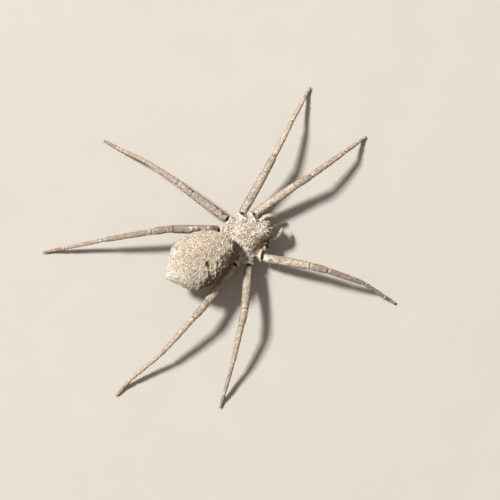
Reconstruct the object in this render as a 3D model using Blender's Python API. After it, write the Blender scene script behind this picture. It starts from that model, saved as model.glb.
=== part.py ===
"""Life-size sand spider at rest, its body and legs covered in soil.

Blender 4.5 script, in metres, +Z up. The head points to -Y and the animal's left side is +X.
Lengths in the functions are in millimetres, as a spider is measured, and are scaled by MM.
Places are given from the middle of the cephalothorax: ahead, to the left, and above the ground.
"""
import math

import bmesh
import bpy
from mathutils import Vector

MM = 0.001

# Driving sizes of the body
CARAPACE_REAR = -2.25
CARAPACE_FRONT = 2.55
CARAPACE_HALF_WIDTH = 2.05
CARAPACE_TOP = 3.55
CARAPACE_EDGE = 2.05
STERNUM_UNDERSIDE = 1.35
ABDOMEN_FRONT = -1.85
ABDOMEN_REAR = -10.3
ABDOMEN_HALF_WIDTH = 3.05
ABDOMEN_MIDDLE = 3.68
ABDOMEN_HALF_HEIGHT = 2.4
ABDOMEN_TIP_LEAN = 0.30
JOINT_GAP = 0.3

# Driving sizes of the legs. A pair shares its sizes: the hip's place ahead and to the side, and each
# segment's length seen from above, in the order of the names.
SEGMENTS = ("femur", "patella", "tibia", "metatarsus", "tarsus")
HIP = {1: (1.52, 2.08), 2: (0.33, 2.71), 3: (-1.50, 2.84), 4: (-2.84, 2.16)}
REACH = {
    1: (5.47, 1.96, 4.62, 1.75, 1.15),
    2: (5.20, 1.98, 4.30, 2.60, 1.65),
    3: (4.75, 1.90, 4.24, 3.35, 1.82),
    4: (5.42, 1.88, 5.53, 4.30, 2.40),
}
# Heights of the hip, of the four joints and of the middle of the foot
HEIGHT = (1.95, 3.05, 3.28, 2.05, 0.75, 0.17)
# Radius of each segment at its two ends, the coat of soil and hair included
RADIUS = {
    "femur": (0.50, 0.46),
    "patella": (0.43, 0.40),
    "tibia": (0.35, 0.28),
    "metatarsus": (0.26, 0.25),
    "tarsus": (0.25, 0.18),
}
# How much thicker each segment is at its middle, and how far it bows upwards
SWELL = {"femur": 0.03, "patella": 0.02, "tibia": 0.02, "metatarsus": 0.0, "tarsus": 0.01}
BOW = {"femur": 0.04, "patella": 0.04, "tibia": 0.08, "metatarsus": -0.06, "tarsus": 0.0}
# Each segment's ends are rounded over this length, down to this part of its radius
END_ROUNDING = 0.14
END_RADIUS = 0.82
# Where each leg's segments point, seen from above: degrees turned from straight ahead to its own side
HEADING = {
    ("left", 1): (9.5, 6.0, 10.6, 10.2, 10.2),
    ("left", 2): (35.3, 37.4, 37.6, 36.5, 36.5),
    ("right", 2): (35.1, 39.4, 44.3, 57.9, 57.9),
    ("left", 3): (119.4, 116.4, 121.3, 129.5, 126.7),
    ("right", 3): (119.7, 127.5, 127.6, 130.6, 130.6),
    ("left", 4): (154.4, 163.5, 164.8, 166.7, 166.7),
    ("right", 4): (151.9, 156.5, 156.8, 165.5, 156.3),
}

COLOURS = {
    "carapace_soil": (0.60, 0.50, 0.38),
    "abdomen_soil": (0.62, 0.51, 0.39),
    "leg_soil": (0.50, 0.41, 0.31),
    "leg_tip_hair": (0.40, 0.30, 0.22),
    "mouthpart_brown": (0.30, 0.19, 0.12),
}

# Clear the scene and make the collections: the spider, and the shapes that only cut or join
for old in list(bpy.data.objects):
    bpy.data.objects.remove(old, do_unlink=True)
spider = bpy.data.collections.new("sand_spider")
bpy.context.scene.collection.children.link(spider)
helpers = bpy.data.collections.new("cutters_and_joined_pieces")
helpers.hide_render = True
bpy.context.scene.collection.children.link(helpers)

# The empty that carries the whole animal
base = bpy.data.objects.new("animal_place", None)
spider.objects.link(base)


def place(ahead, left, up):
    """A point of the animal, in metres."""
    return Vector((left, -ahead, up)) * MM


def material(name):
    """The Principled material of this name, made when first asked for."""
    if name in bpy.data.materials:
        return bpy.data.materials[name]
    made = bpy.data.materials.new(name)
    made.use_nodes = True
    shader = made.node_tree.nodes["Principled BSDF"]
    shader.inputs["Base Color"].default_value = (*COLOURS[name], 1.0)
    shader.inputs["Roughness"].default_value = 0.9
    shader.inputs["Metallic"].default_value = 0.0
    return made


def mesh_object(name, mesh, finish, collection, root):
    """A mesh in the scene, its origin at its root, shown as a solid or as a helper's wires."""
    made = bpy.data.objects.new(name, mesh)
    made.data.materials.append(material(finish))
    made.parent = base
    made.location = root
    collection.objects.link(made)
    if collection == helpers:
        made.hide_render = True
        made.display_type = "WIRE"
    return made


def tube(name, points, radii, finish, collection=spider, sides=12):
    """A round bar through the points, of these radii in millimetres, with closed ends."""
    curve = bpy.data.curves.new(name, "CURVE")
    curve.dimensions = "3D"
    curve.bevel_depth = MM
    curve.bevel_resolution = (sides - 4) // 2
    curve.use_fill_caps = True
    line = curve.splines.new("POLY")
    line.points.add(len(points) - 1)
    for knot, point, radius in zip(line.points, points, radii):
        knot.co = (*(point - points[0]), 1.0)
        knot.radius = radius
    drawn = bpy.data.objects.new(name + "_line", curve)
    bpy.context.scene.collection.objects.link(drawn)
    mesh = bpy.data.meshes.new_from_object(drawn.evaluated_get(bpy.context.evaluated_depsgraph_get()))
    bpy.data.objects.remove(drawn, do_unlink=True)
    weld(mesh)
    return mesh_object(name, mesh, finish, collection, points[0])


def weld(mesh):
    """Joins the caps of a bar to its sides and faces everything outwards."""
    shape = bmesh.new()
    shape.from_mesh(mesh)
    bmesh.ops.remove_doubles(shape, verts=shape.verts, dist=0.0005 * MM)
    bmesh.ops.recalc_face_normals(shape, faces=shape.faces)
    shape.to_mesh(mesh)
    shape.free()


def loft(name, rings, finish, collection=spider):
    """A closed skin over rings of points that all have the same count, in metres."""
    root = sum(rings[-1], Vector()) / len(rings[-1])
    shape = bmesh.new()
    rows = [[shape.verts.new(point - root) for point in ring] for ring in rings]
    count = len(rows[0])
    for near, far in zip(rows, rows[1:]):
        for i in range(count):
            j = (i + 1) % count
            shape.faces.new((near[i], near[j], far[j], far[i]))
    for row in (rows[0], rows[-1]):
        middle = shape.verts.new(sum((v.co for v in row), Vector()) / count)
        for i in range(count):
            shape.faces.new((row[i], row[(i + 1) % count], middle))
    bmesh.ops.recalc_face_normals(shape, faces=shape.faces)
    mesh = bpy.data.meshes.new(name)
    shape.to_mesh(mesh)
    shape.free()
    return mesh_object(name, mesh, finish, collection, root)


def dome(name, middle, radius, finish):
    """A small ball that is joined to a bigger piece, in millimetres about a point in metres."""
    shape = bmesh.new()
    bmesh.ops.create_icosphere(shape, subdivisions=2, radius=radius * MM)
    mesh = bpy.data.meshes.new(name)
    shape.to_mesh(mesh)
    shape.free()
    return mesh_object(name, mesh, finish, helpers, middle)


def keep_largest(mesh):
    """Keeps only the closed surface with the most faces, so that no loose scrap is left."""
    shape = bmesh.new()
    shape.from_mesh(mesh)
    unseen = set(shape.faces)
    islands = []
    while unseen:
        island = set()
        edge_of_search = [unseen.pop()]
        while edge_of_search:
            face = edge_of_search.pop()
            island.add(face)
            for edge in face.edges:
                for neighbour in edge.link_faces:
                    if neighbour in unseen:
                        unseen.remove(neighbour)
                        edge_of_search.append(neighbour)
        islands.append(island)
    largest = max(islands, key=len)
    scraps = [face for island in islands if island is not largest for face in island]
    bmesh.ops.delete(shape, geom=scraps, context="FACES")
    shape.to_mesh(mesh)
    shape.free()


def join(body, pieces):
    """Makes one closed surface of a body and the helpers that grow from it."""
    group = bpy.data.collections.new(body.name + "_pieces")
    for piece in pieces:
        group.objects.link(piece)
    union = body.modifiers.new("grow_together", "BOOLEAN")
    union.operation = "UNION"
    union.solver = "EXACT"
    union.operand_type = "COLLECTION"
    union.collection = group
    mesh = bpy.data.meshes.new_from_object(body.evaluated_get(bpy.context.evaluated_depsgraph_get()))
    keep_largest(mesh)
    body.modifiers.clear()
    body.data = mesh
    for piece in pieces:
        bpy.data.objects.remove(piece, do_unlink=True)
    bpy.data.collections.remove(group)


# Carapace: a low dome that narrows to the head, steep at the sides and falling away at the back
def carapace_half_width(ahead):
    """Half the cephalothorax's width at this place along it, in millimetres."""
    if ahead < -0.5:
        part = (-0.5 - ahead) / (-0.5 - CARAPACE_REAR)
        return CARAPACE_HALF_WIDTH * (1 - 0.62 * part ** 2.6)
    neck = min(1.0, (ahead + 0.5) / 2.3)
    head = 0.5 * (1 - math.cos(math.pi * neck))
    front = max(0.0, (ahead - 1.9) / (CARAPACE_FRONT - 1.9))
    return CARAPACE_HALF_WIDTH * (1 - 0.52 * head) - 0.22 * front ** 2


def carapace_top(ahead):
    """Height of the cephalothorax's middle line."""
    if ahead < 0.2:
        part = (0.2 - ahead) / (0.2 - CARAPACE_REAR)
        return CARAPACE_TOP - (CARAPACE_TOP - 2.05) * part ** 2.2
    part = (ahead - 0.2) / (CARAPACE_FRONT - 0.2)
    return CARAPACE_TOP - 0.12 * part - 0.42 * part ** 5


def carapace_underside(ahead):
    """Height of the sternum's middle line, which rises to the mouth and to the waist."""
    if ahead > 0.9:
        return STERNUM_UNDERSIDE + 0.95 * min(1.0, (ahead - 0.9) / 1.0) ** 1.5
    if ahead < -1.2:
        return STERNUM_UNDERSIDE + 0.25 * ((-1.2 - ahead) / (-1.2 - CARAPACE_REAR)) ** 2
    return STERNUM_UNDERSIDE


def carapace_edge(ahead):
    """Height of the rim where the carapace meets the underside."""
    middle = 0.5 * (carapace_top(ahead) + carapace_underside(ahead))
    return min(max(CARAPACE_EDGE, middle - 0.1), carapace_top(ahead) - 0.05)


def carapace_surface(ahead, left):
    """Height of the carapace above a place, in millimetres."""
    across = min(1.0, abs(left) / carapace_half_width(ahead))
    edge = carapace_edge(ahead)
    return edge + (carapace_top(ahead) - edge) * (1 - across ** 1.9) ** 0.75


def cephalothorax_ring(ahead, count=24):
    """One section across the cephalothorax: the dome above, the flatter sternum below."""
    width = carapace_half_width(ahead)
    edge = carapace_edge(ahead)
    under = carapace_underside(ahead)
    ring = []
    for i in range(count):
        turn = 2 * math.pi * i / count
        across = math.copysign(abs(math.cos(turn)) ** 0.9, math.cos(turn))
        if math.sin(turn) >= 0:
            up = carapace_surface(ahead, width * across)
        else:
            up = edge - (edge - under) * (1 - abs(across) ** 2.6) ** 0.6
        ring.append(place(ahead, width * across, up))
    return ring


CARAPACE_STATIONS = 18
carapace_length = CARAPACE_FRONT - CARAPACE_REAR
cephalothorax = loft(
    "cephalothorax",
    [
        cephalothorax_ring(CARAPACE_REAR + carapace_length * 0.5 * (1 - math.cos(math.pi * i / CARAPACE_STATIONS)))
        for i in range(CARAPACE_STATIONS + 1)
    ],
    "carapace_soil",
)

# Coxae with the trochanter ring at their ends. The right front leg is lost, and its coxa ends short.
COXA_ROOT = {1: (0.95, 1.05), 2: (0.22, 1.35), 3: (-0.95, 1.35), 4: (-1.60, 0.95)}
COXA_END_HEADING = {1: 28, 2: 55, 3: 118, 4: 146}
COXA_RADII = (0.50, 0.60, 0.55, 0.52, 0.42)
HIP_CLEARANCE = 0.16
STUMP_PART = 0.82
grown = []
for side, sign in (("left", 1), ("right", -1)):
    for pair in (1, 2, 3, 4):
        root = Vector(COXA_ROOT[pair])
        turn = math.radians(COXA_END_HEADING[pair])
        way = Vector((math.cos(turn), math.sin(turn)))
        end = Vector(HIP[pair]) - way * HIP_CLEARANCE
        if (side, pair) not in HEADING:
            end = root.lerp(end, STUMP_PART)
        knots = [root, root.lerp(end, 0.35), root.lerp(end, 0.75), end - way * 0.12, end]
        grown.append(tube(
            f"coxa_{side}_{pair}",
            [place(ahead, sign * left, HEIGHT[0]) for ahead, left in knots],
            COXA_RADII,
            "carapace_soil",
            helpers,
        ))

# Mouth lobes: the palps' coxae on each side of the lip, under the front of the sternum
for side, sign in (("left", 1), ("right", -1)):
    grown.append(tube(
        f"mouth_lobe_{side}",
        [place(0.75, sign * 0.80, 1.80), place(1.10, sign * 0.62, 1.55), place(1.45, sign * 0.38, 1.42)],
        [0.34, 0.34, 0.20],
        "carapace_soil",
        helpers,
    ))
grown.append(tube(
    "lip",
    [place(0.60, 0, 1.65), place(0.95, 0, 1.48), place(1.20, 0, 1.45)],
    [0.36, 0.30, 0.18],
    "carapace_soil",
    helpers,
))

# Eight eyes in two curved rows on the front of the head: ahead, to the side, and radius
EYES = {
    "eye_front_middle": (2.49, 0.14, 0.10),
    "eye_front_side": (2.40, 0.42, 0.12),
    "eye_back_middle": (2.22, 0.19, 0.12),
    "eye_back_side": (1.98, 0.47, 0.14),
}
for name, (ahead, left, radius) in EYES.items():
    for side, sign in (("left", 1), ("right", -1)):
        up = carapace_surface(ahead, left)
        grown.append(dome(f"{name}_{side}", place(ahead, sign * left, up), radius, "carapace_soil"))
join(cephalothorax, grown)

# Abdomen: a plump egg, carried clear of the ground and reaching forward over the waist. Its rear tapers to a blunt
# tip, which leans a little to the right.
abdomen_middle = 0.5 * (ABDOMEN_FRONT + ABDOMEN_REAR)
abdomen_half_length = 0.5 * (ABDOMEN_FRONT - ABDOMEN_REAR)


def abdomen_ring(along, count=28):
    """One section across the abdomen, along running from -1 at the rear to 1 at the front."""
    power = 0.60 - 0.03 * along
    fullness = max(0.0, 1 - along * along) ** power
    plump = max(0.0, 1 - along * along) ** 0.55
    to_tip = max(0.0, -along - 0.55)
    taper = to_tip * to_tip / (to_tip + 0.08)
    fullness *= 1 - 1.8 * taper
    plump *= 1 - 0.5 * taper
    ring = []
    for i in range(count):
        turn = 2 * math.pi * i / count
        lift = ABDOMEN_HALF_HEIGHT * plump * math.sin(turn)
        if lift < 0:
            lift *= 0.95
        ring.append(place(
            abdomen_middle + abdomen_half_length * along,
            ABDOMEN_HALF_WIDTH * fullness * math.cos(turn) - ABDOMEN_TIP_LEAN * to_tip / 0.45,
            ABDOMEN_MIDDLE + lift + 0.12 * along,
        ))
    return ring


ABDOMEN_STATIONS = 18
abdomen = loft(
    "abdomen",
    [
        abdomen_ring(-math.cos(math.pi * (i + 0.7) / (ABDOMEN_STATIONS + 1.05)))
        for i in range(ABDOMEN_STATIONS + 1)
    ],
    "abdomen_soil",
)

# Waist: the thin pedicel that the abdomen hangs on, ending just behind the cephalothorax
pedicel = tube(
    "pedicel",
    [
        place(CARAPACE_REAR - JOINT_GAP, 0, 1.85),
        place(CARAPACE_REAR - JOINT_GAP - 0.35, 0, 1.95),
        place(CARAPACE_REAR - JOINT_GAP - 1.3, 0, 2.6),
    ],
    [0.34, 0.36, 0.45],
    "abdomen_soil",
    helpers,
)
join(abdomen, [pedicel])

# Spinnerets: three short cones in a group under the abdomen's tip, pointing down and back
SPINNERET_ROOT = (ABDOMEN_REAR + 0.80, 2.03)
SPINNERETS_LEFT = -0.15
SPINNERET_WAY = (-0.52, -0.85)
SPINNERET_LENGTH = 0.62


def spinneret(name, forward, left, collection):
    """One cone of the group, its root this far in front of and beside the group's middle."""
    knots = [
        place(
            SPINNERET_ROOT[0] + forward + SPINNERET_WAY[0] * SPINNERET_LENGTH * part,
            SPINNERETS_LEFT + left * (1 + 0.15 * part),
            SPINNERET_ROOT[1] - 0.30 * forward + SPINNERET_WAY[1] * SPINNERET_LENGTH * part,
        )
        for part in (0.0, 0.55, 1.0)
    ]
    return tube(name, knots, [0.30, 0.27, 0.14], "abdomen_soil", collection)


spinnerets = spinneret("spinnerets", 0.0, 0.22, spider)
join(spinnerets, [
    spinneret("spinneret_right", 0.0, -0.22, helpers),
    spinneret("spinneret_front", 0.38, 0.0, helpers),
])

# Chelicerae: two upright blocks under the front of the head, each with its folded fang
CHELICERA_AHEAD = 2.22
CHELICERA_LEFT = 0.42
for side, sign in (("left", 1), ("right", -1)):
    chelicera = tube(
        f"chelicera_{side}",
        [
            place(CHELICERA_AHEAD - 0.04, sign * CHELICERA_LEFT, 1.98),
            place(CHELICERA_AHEAD + 0.04, sign * (CHELICERA_LEFT + 0.01), 1.75),
            place(CHELICERA_AHEAD + 0.02, sign * CHELICERA_LEFT, 1.25),
            place(CHELICERA_AHEAD - 0.08, sign * (CHELICERA_LEFT - 0.03), 0.95),
        ],
        [0.30, 0.36, 0.33, 0.22],
        "mouthpart_brown",
    )
    fang = tube(
        f"fang_{side}",
        [
            place(CHELICERA_AHEAD + 0.02, sign * (CHELICERA_LEFT + 0.09), 1.05),
            place(CHELICERA_AHEAD - 0.04, sign * (CHELICERA_LEFT - 0.05), 0.80),
            place(CHELICERA_AHEAD - 0.19, sign * (CHELICERA_LEFT - 0.20), 0.74),
        ],
        [0.12, 0.10, 0.04],
        "mouthpart_brown",
        helpers,
        sides=8,
    )
    join(chelicera, [fang])

# Palps: short feelers like small legs beside the chelicerae, bent outwards and then in towards each other
PALP_LINE = (
    (1.72, 0.98, 1.72, 0.24),
    (2.00, 1.16, 1.98, 0.28),
    (2.45, 1.30, 2.16, 0.29),
    (2.95, 1.20, 2.10, 0.28),
    (3.25, 1.02, 1.86, 0.28),
    (3.52, 0.80, 1.54, 0.25),
    (3.72, 0.62, 1.28, 0.14),
)
for side, sign in (("left", 1), ("right", -1)):
    tube(
        f"palp_{side}",
        [place(ahead, sign * left, up) for ahead, left, up, radius in PALP_LINE],
        [radius for ahead, left, up, radius in PALP_LINE],
        "leg_soil",
    )

# Legs: each a chain of five segments from the hip to the foot, bowed a little and rounded at the ends
floor_cutter = bmesh.new()
bmesh.ops.create_cube(floor_cutter, size=80 * MM)
bmesh.ops.translate(floor_cutter, verts=floor_cutter.verts, vec=(0, 0, -40 * MM))
floor_mesh = bpy.data.meshes.new("floor_cutter")
floor_cutter.to_mesh(floor_mesh)
floor_cutter.free()
floor = mesh_object("floor_cutter", floor_mesh, "leg_tip_hair", helpers, (0, 0, 0))

# The part of the last segment from which the foot lies level on the ground
FOOT_LEVEL_FROM = 0.75


def leg_joints(side, pair):
    """The six points from a leg's hip to the middle of its foot, in metres."""
    sign = 1 if side == "left" else -1
    ahead, left = HIP[pair]
    points = [place(ahead, sign * left, HEIGHT[0])]
    for reach, heading, up in zip(REACH[pair], HEADING[side, pair], HEIGHT[1:]):
        turn = math.radians(heading)
        ahead += reach * math.cos(turn)
        left += reach * math.sin(turn)
        points.append(place(ahead, sign * left, up))
    return points


def leg_segment(side, pair, segment, start, end):
    """One segment between two joints, kept clear of both by half the joint gap. A foot levels out."""
    foot = segment == "tarsus"
    way = (end - start).normalized()
    clear = 0.5 * JOINT_GAP * MM
    near = start + way * clear
    far = end if foot else end - way * clear
    rounding = END_ROUNDING * MM / (far - near).length
    first, last = RADIUS[segment]
    points = []
    sizes = []
    for stop in (0.0, rounding, 0.25, 0.5, 0.75, 1 - rounding, 1.0):
        point = near.lerp(far, stop)
        if foot:
            fallen = math.sin(0.5 * math.pi * min(1.0, stop / FOOT_LEVEL_FROM))
            point.z = near.z + (far.z - near.z) * fallen
        else:
            point.z += BOW[segment] * MM * math.sin(math.pi * stop)
        points.append(point)
        sizes.append(first + (last - first) * stop + SWELL[segment] * math.sin(math.pi * stop))
    sizes[0] *= END_RADIUS
    sizes[-1] *= END_RADIUS
    finish = "leg_tip_hair" if segment in ("metatarsus", "tarsus") else "leg_soil"
    return tube(f"{segment}_{side}_{pair}", points, sizes, finish)


for side, pair in HEADING:
    joints = leg_joints(side, pair)
    for segment, start, end in zip(SEGMENTS, joints, joints[1:]):
        made = leg_segment(side, pair, segment, start, end)
    flat = made.modifiers.new("stand_on_floor", "BOOLEAN")
    flat.operation = "DIFFERENCE"
    flat.solver = "EXACT"
    flat.object = floor

# Put the middle of the whole animal's footprint over the origin
bpy.context.view_layer.update()
graph = bpy.context.evaluated_depsgraph_get()
corners = [
    made.matrix_world @ vertex.co
    for made in spider.objects
    if made.type == "MESH"
    for vertex in made.evaluated_get(graph).data.vertices
]
middle_x = 0.5 * (min(c.x for c in corners) + max(c.x for c in corners))
middle_y = 0.5 * (min(c.y for c in corners) + max(c.y for c in corners))
base.location = (-middle_x, -middle_y, 0)
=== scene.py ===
"""A desert sand spider under its coat of soil, life size, seen from straight above.

Blender 4.5 script, in metres, +Z up, the head towards -Y and the animal's left side towards +X. It dresses
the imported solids: one skin over the body and legs, the soil and short hair on it, eyes, jaws and claws.
"""
import math

import bmesh
import bpy
import numpy as np
from mathutils import Matrix, Vector, noise
from mathutils.bvhtree import BVHTree


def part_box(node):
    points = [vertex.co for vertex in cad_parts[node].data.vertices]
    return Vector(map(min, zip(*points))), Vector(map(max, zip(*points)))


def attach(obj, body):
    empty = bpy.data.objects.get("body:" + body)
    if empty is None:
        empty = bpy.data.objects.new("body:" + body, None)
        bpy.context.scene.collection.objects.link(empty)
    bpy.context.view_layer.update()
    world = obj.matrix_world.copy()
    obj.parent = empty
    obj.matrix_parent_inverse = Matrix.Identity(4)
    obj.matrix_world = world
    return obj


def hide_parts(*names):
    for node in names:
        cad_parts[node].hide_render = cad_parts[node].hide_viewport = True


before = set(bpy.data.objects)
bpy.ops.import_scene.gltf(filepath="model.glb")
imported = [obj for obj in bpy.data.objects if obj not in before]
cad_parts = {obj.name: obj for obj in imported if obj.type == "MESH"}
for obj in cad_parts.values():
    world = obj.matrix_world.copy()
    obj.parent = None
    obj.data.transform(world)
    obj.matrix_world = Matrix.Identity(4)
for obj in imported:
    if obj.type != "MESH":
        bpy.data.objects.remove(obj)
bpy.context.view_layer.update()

# The skin. In life it is a thin horny shell over body, palps and legs, dusted all over and bare only in the
# folds of the joints. It is cast from copies of the solids, bridged where they are cut apart, remeshed to
# one closed surface and drawn in a little, so that the coat on it reaches out to where the solids end.
MM = 0.001
SKIN_VOXEL = 0.092
DRAWN_IN = 0.03
JOINT_HALF_GAP = 0.15
SEGMENTS = ("femur", "patella", "tibia", "metatarsus", "tarsus")
# Radii of the flesh at the hip and at the joints out along the leg
JOINT_RADII = (0.46, 0.44, 0.37, 0.265, 0.24)
# Flesh that bridges the waist and the root of the spinnerets, and on each side the root of the palp and the
# soil packed between the hips: ahead of the carapace's middle, to the left, height and radius
MIDDLE_BRIDGES = (
    (-2.40, 0.0, 1.87, 0.34), (-2.15, 0.0, 1.85, 0.34), (-9.18, -0.12, 2.20, 0.38),
    (-9.44, 0.04, 2.28, 0.35), (-9.44, -0.34, 2.28, 0.35),
)
SIDE_BRIDGES = (
    (1.62, 0.86, 1.72, 0.27), (1.45, 0.70, 1.74, 0.30), (0.98, 1.70, 2.05, 0.46), (-0.62, 1.82, 2.05, 0.46),
    (-1.92, 1.72, 2.05, 0.46), (0.05, 1.75, 2.05, 0.50), (-1.25, 1.80, 2.05, 0.50),
)
LEGS = [
    (side, pair)
    for side in ("left", "right")
    for pair in (1, 2, 3, 4)
    if f"femur_{side}_{pair}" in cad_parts
]
FLESH = ["cephalothorax", "abdomen", "spinnerets", "palp_left", "palp_right"]
FLESH += [f"{segment}_{side}_{pair}" for side, pair in LEGS for segment in SEGMENTS]

# The carapace's middle lies on the abdomen's middle line, this far ahead of the abdomen's end
MIDDLE_TO_REAR = 10.272
abdomen_low, abdomen_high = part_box("abdomen")
BODY_X = 0.5 * (abdomen_low.x + abdomen_high.x) / MM
BODY_Y = abdomen_high.y / MM - MIDDLE_TO_REAR


def select_only(*pieces):
    """Selects these objects alone, the first one active."""
    bpy.ops.object.select_all(action="DESELECT")
    for piece in pieces:
        piece.select_set(True)
    bpy.context.view_layer.objects.active = pieces[0]


def modify(piece, name, kind, **settings):
    """Gives a piece a modifier with these settings and applies it."""
    select_only(piece)
    added = piece.modifiers.new(name, kind)
    for field, value in settings.items():
        setattr(added, field, value)
    bpy.ops.object.modifier_apply(modifier=added.name)


def at(ahead, left, up):
    """A point in millimetres: so far ahead of the carapace's middle, to the left and above the floor."""
    return Vector((BODY_X + left, BODY_Y - ahead, up))


def rows_of(items, field="co"):
    """A field of three numbers, such as the place, of each of a mesh's points or faces, one row each."""
    flat = np.empty(len(items) * 3, np.int32 if field == "vertices" else np.float32)
    items.foreach_get(field, flat)
    return flat.reshape(-1, 3).astype(int if field == "vertices" else float)


def unit(rows):
    """Each row, or the one there is, drawn to length one."""
    return rows / np.linalg.norm(rows, axis=-1, keepdims=True)


def bar_ends(node):
    """The middles of the two ends of a bar-shaped solid in millimetres, the one nearer the body first."""
    points = rows_of(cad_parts[node].data.vertices) / MM
    middle = points.mean(0)
    way = np.linalg.svd(points - middle, full_matrices=False)[2][0]
    along = (points - middle) @ way
    end_slice = 0.06
    ends = [points[along < along.min() + end_slice], points[along > along.max() - end_slice]]
    return sorted([end.mean(0) for end in ends], key=lambda end: np.linalg.norm(end[:2] - (BODY_X, BODY_Y)))


def bead(place, radius):
    """A ball in millimetres that bridges a joint."""
    bpy.ops.mesh.primitive_uv_sphere_add(segments=24, ring_count=16, radius=radius, location=place)
    return bpy.context.object


# Each leg's line: the hip, the four joints and the foot
leg_lines = {}
for leg in LEGS:
    ends = [bar_ends(f"{segment}_{leg[0]}_{leg[1]}") for segment in SEGMENTS]
    joints = [ends[0][0] - unit(ends[0][1] - ends[0][0]) * JOINT_HALF_GAP]
    joints += [0.5 * (near[1] + far[0]) for near, far in zip(ends, ends[1:])]
    joints.append(ends[-1][1])
    leg_lines[leg] = np.array(joints)

casts = []
for node in FLESH:
    cast = bpy.data.objects.new(node + "_cast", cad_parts[node].data.copy())
    cast.data.transform(Matrix.Scale(1 / MM, 4))
    bpy.context.scene.collection.objects.link(cast)
    casts.append(cast)
select_only(*casts)
bpy.ops.object.join()
skin = bpy.context.object
skin.name = skin.data.name = "skin"
bpy.ops.object.mode_set(mode="EDIT")
bpy.ops.mesh.select_all(action="SELECT")
bpy.ops.mesh.remove_doubles(threshold=0.001)
bpy.ops.mesh.tris_convert_to_quads(face_threshold=0.6, shape_threshold=0.6)
bpy.ops.object.mode_set(mode="OBJECT")
modify(skin, "round_the_facets", "SUBSURF", levels=1, render_levels=1)

beads = [bead(joint, radius) for line in leg_lines.values() for joint, radius in zip(line, JOINT_RADII)]
beads += [bead(at(*place), radius) for *place, radius in MIDDLE_BRIDGES]
for sign in (1, -1):
    beads += [bead(at(forward, sign * aside, high), radius) for forward, aside, high, radius in SIDE_BRIDGES]
select_only(skin, *beads)
bpy.ops.object.join()

modify(skin, "one_surface", "REMESH", mode="VOXEL", voxel_size=SKIN_VOXEL)
modify(skin, "ease_the_voxels", "SMOOTH", factor=0.5, iterations=5)
modify(skin, "draw_in", "DISPLACE", strength=-DRAWN_IN, mid_level=0.0)

# Relief. The joints are thin folds, each femur starts behind a pale collar with a dark slot on top, the
# carapace has a pit and furrows over the muscles inside, and the abdomen has small dents where muscles
# pull on it. The head and hips get a finer mesh first. All lengths here are still in millimetres.
HEAD_FROM = 1.45
HEAD_HALF_WIDTH = 1.15
HIP_REACH = 0.62
# Depth or height, then where it lies, then its reach along the leg or over the surface
JOINT_FOLD = (0.055, 0.10)
JOINT_LIP = (0.028, 0.20, 0.09)
HIP_SLOT = (0.22, 0.125, 1.15)
HIP_COLLAR = (0.11, -0.25, 0.085)
FOVEA = (0.06, -0.60, 0.34, 0.12)
# Furrows on each side of the carapace: both ends, depth and width
FURROWS = (
    ((-0.10, 0.22), (1.30, 1.22), 0.02, 0.18),
    ((-0.35, 0.35), (0.30, 1.85), 0.025, 0.15),
    ((-0.65, 0.35), (-0.75, 1.95), 0.025, 0.15),
    ((-0.95, 0.28), (-1.75, 1.25), 0.025, 0.15),
)
# Pits in the soil on the carapace: ahead, to the left, depth and radius
PITS = (
    (0.30, 1.68, 0.12, 0.13), (1.38, 0.87, 0.11, 0.11),
    (2.02, -0.10, 0.05, 0.10), (-0.35, -1.20, 0.05, 0.16),
)
# Dents on the abdomen: ahead, to the left, depth, radius, and how much longer each is along its slant
DENTS = (
    (-5.50, -0.78, 0.18, 0.22, 1.5),
    (-5.38, 0.94, 0.085, 0.17, 1.3),
    (-6.53, -0.74, 0.05, 0.11, 1.0),
    (-6.60, 0.86, 0.03, 0.10, 1.0),
    (-4.30, -0.62, 0.02, 0.12, 1.0),
    (-4.30, 0.78, 0.02, 0.12, 1.0),
)
# Bare gaps and chalky tufts along the crust's edge: ahead, to the left, half length and half width
GAPS = (
    (-5.57, -1.26, 0.26, 0.15), (-5.77, -1.98, 0.40, 0.11), (-4.43, -1.12, 0.34, 0.15),
    (-3.73, -0.77, 0.42, 0.21), (-6.41, -2.49, 0.24, 0.10), (-4.95, -1.95, 0.30, 0.09),
    (-4.70, -0.20, 0.12, 0.05), (-5.10, 0.20, 0.12, 0.05), (-5.30, -1.55, 0.20, 0.07),
    (-3.30, 0.45, 0.12, 0.05), (-6.95, -2.35, 0.22, 0.08), (-6.10, -1.55, 0.18, 0.07),
)
TUFTS = (
    (-2.38, -0.19, 0.26, 0.08), (-4.85, -1.46, 0.40, 0.15), (-6.43, -1.94, 0.34, 0.12),
    (-5.15, -2.05, 0.32, 0.13), (-2.51, 0.67, 0.20, 0.06), (-3.25, -0.25, 0.30, 0.07),
    (-7.60, -2.70, 0.28, 0.18), (-2.95, 0.72, 0.20, 0.07), (-4.10, -0.62, 0.30, 0.10),
    (-5.95, -1.75, 0.26, 0.09), (-3.60, 0.20, 0.24, 0.07), (-7.05, -2.00, 0.24, 0.10),
)
# The abdomen's middle, ahead and up, and its half length, half width and half height
ABDOMEN_CENTRE = (-6.075, 3.68)
ABDOMEN_REACH = (4.225, 3.05, 2.40)
# The crust of soil on the abdomen ends along a ragged line on the right flank: ahead, and to the left
CRUST_EDGE = (
    (-10.0, -2.4), (-8.6, -3.3), (-7.4, -2.85), (-6.7, -2.40), (-5.8, -1.90), (-4.9, -2.20), (-4.2, -1.45),
    (-3.4, -0.70), (-2.4, -0.25), (-1.8, 0.50),
)
# The crust's lower edge all round, higher at the sides than at the rear: ahead, and up
CRUST_LOWER_EDGE = ((-10.3, 2.75), (-9.4, 3.15), (-8.2, 3.70), (-6.5, 4.00), (-1.8, 4.00))
CRUST_HEIGHT = 0.06
# How far the crust's edge wanders, and over what reach it thins out
CRUST_RAGGED = (1.3, 1.1)
CRUST_THINS = 0.12


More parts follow.
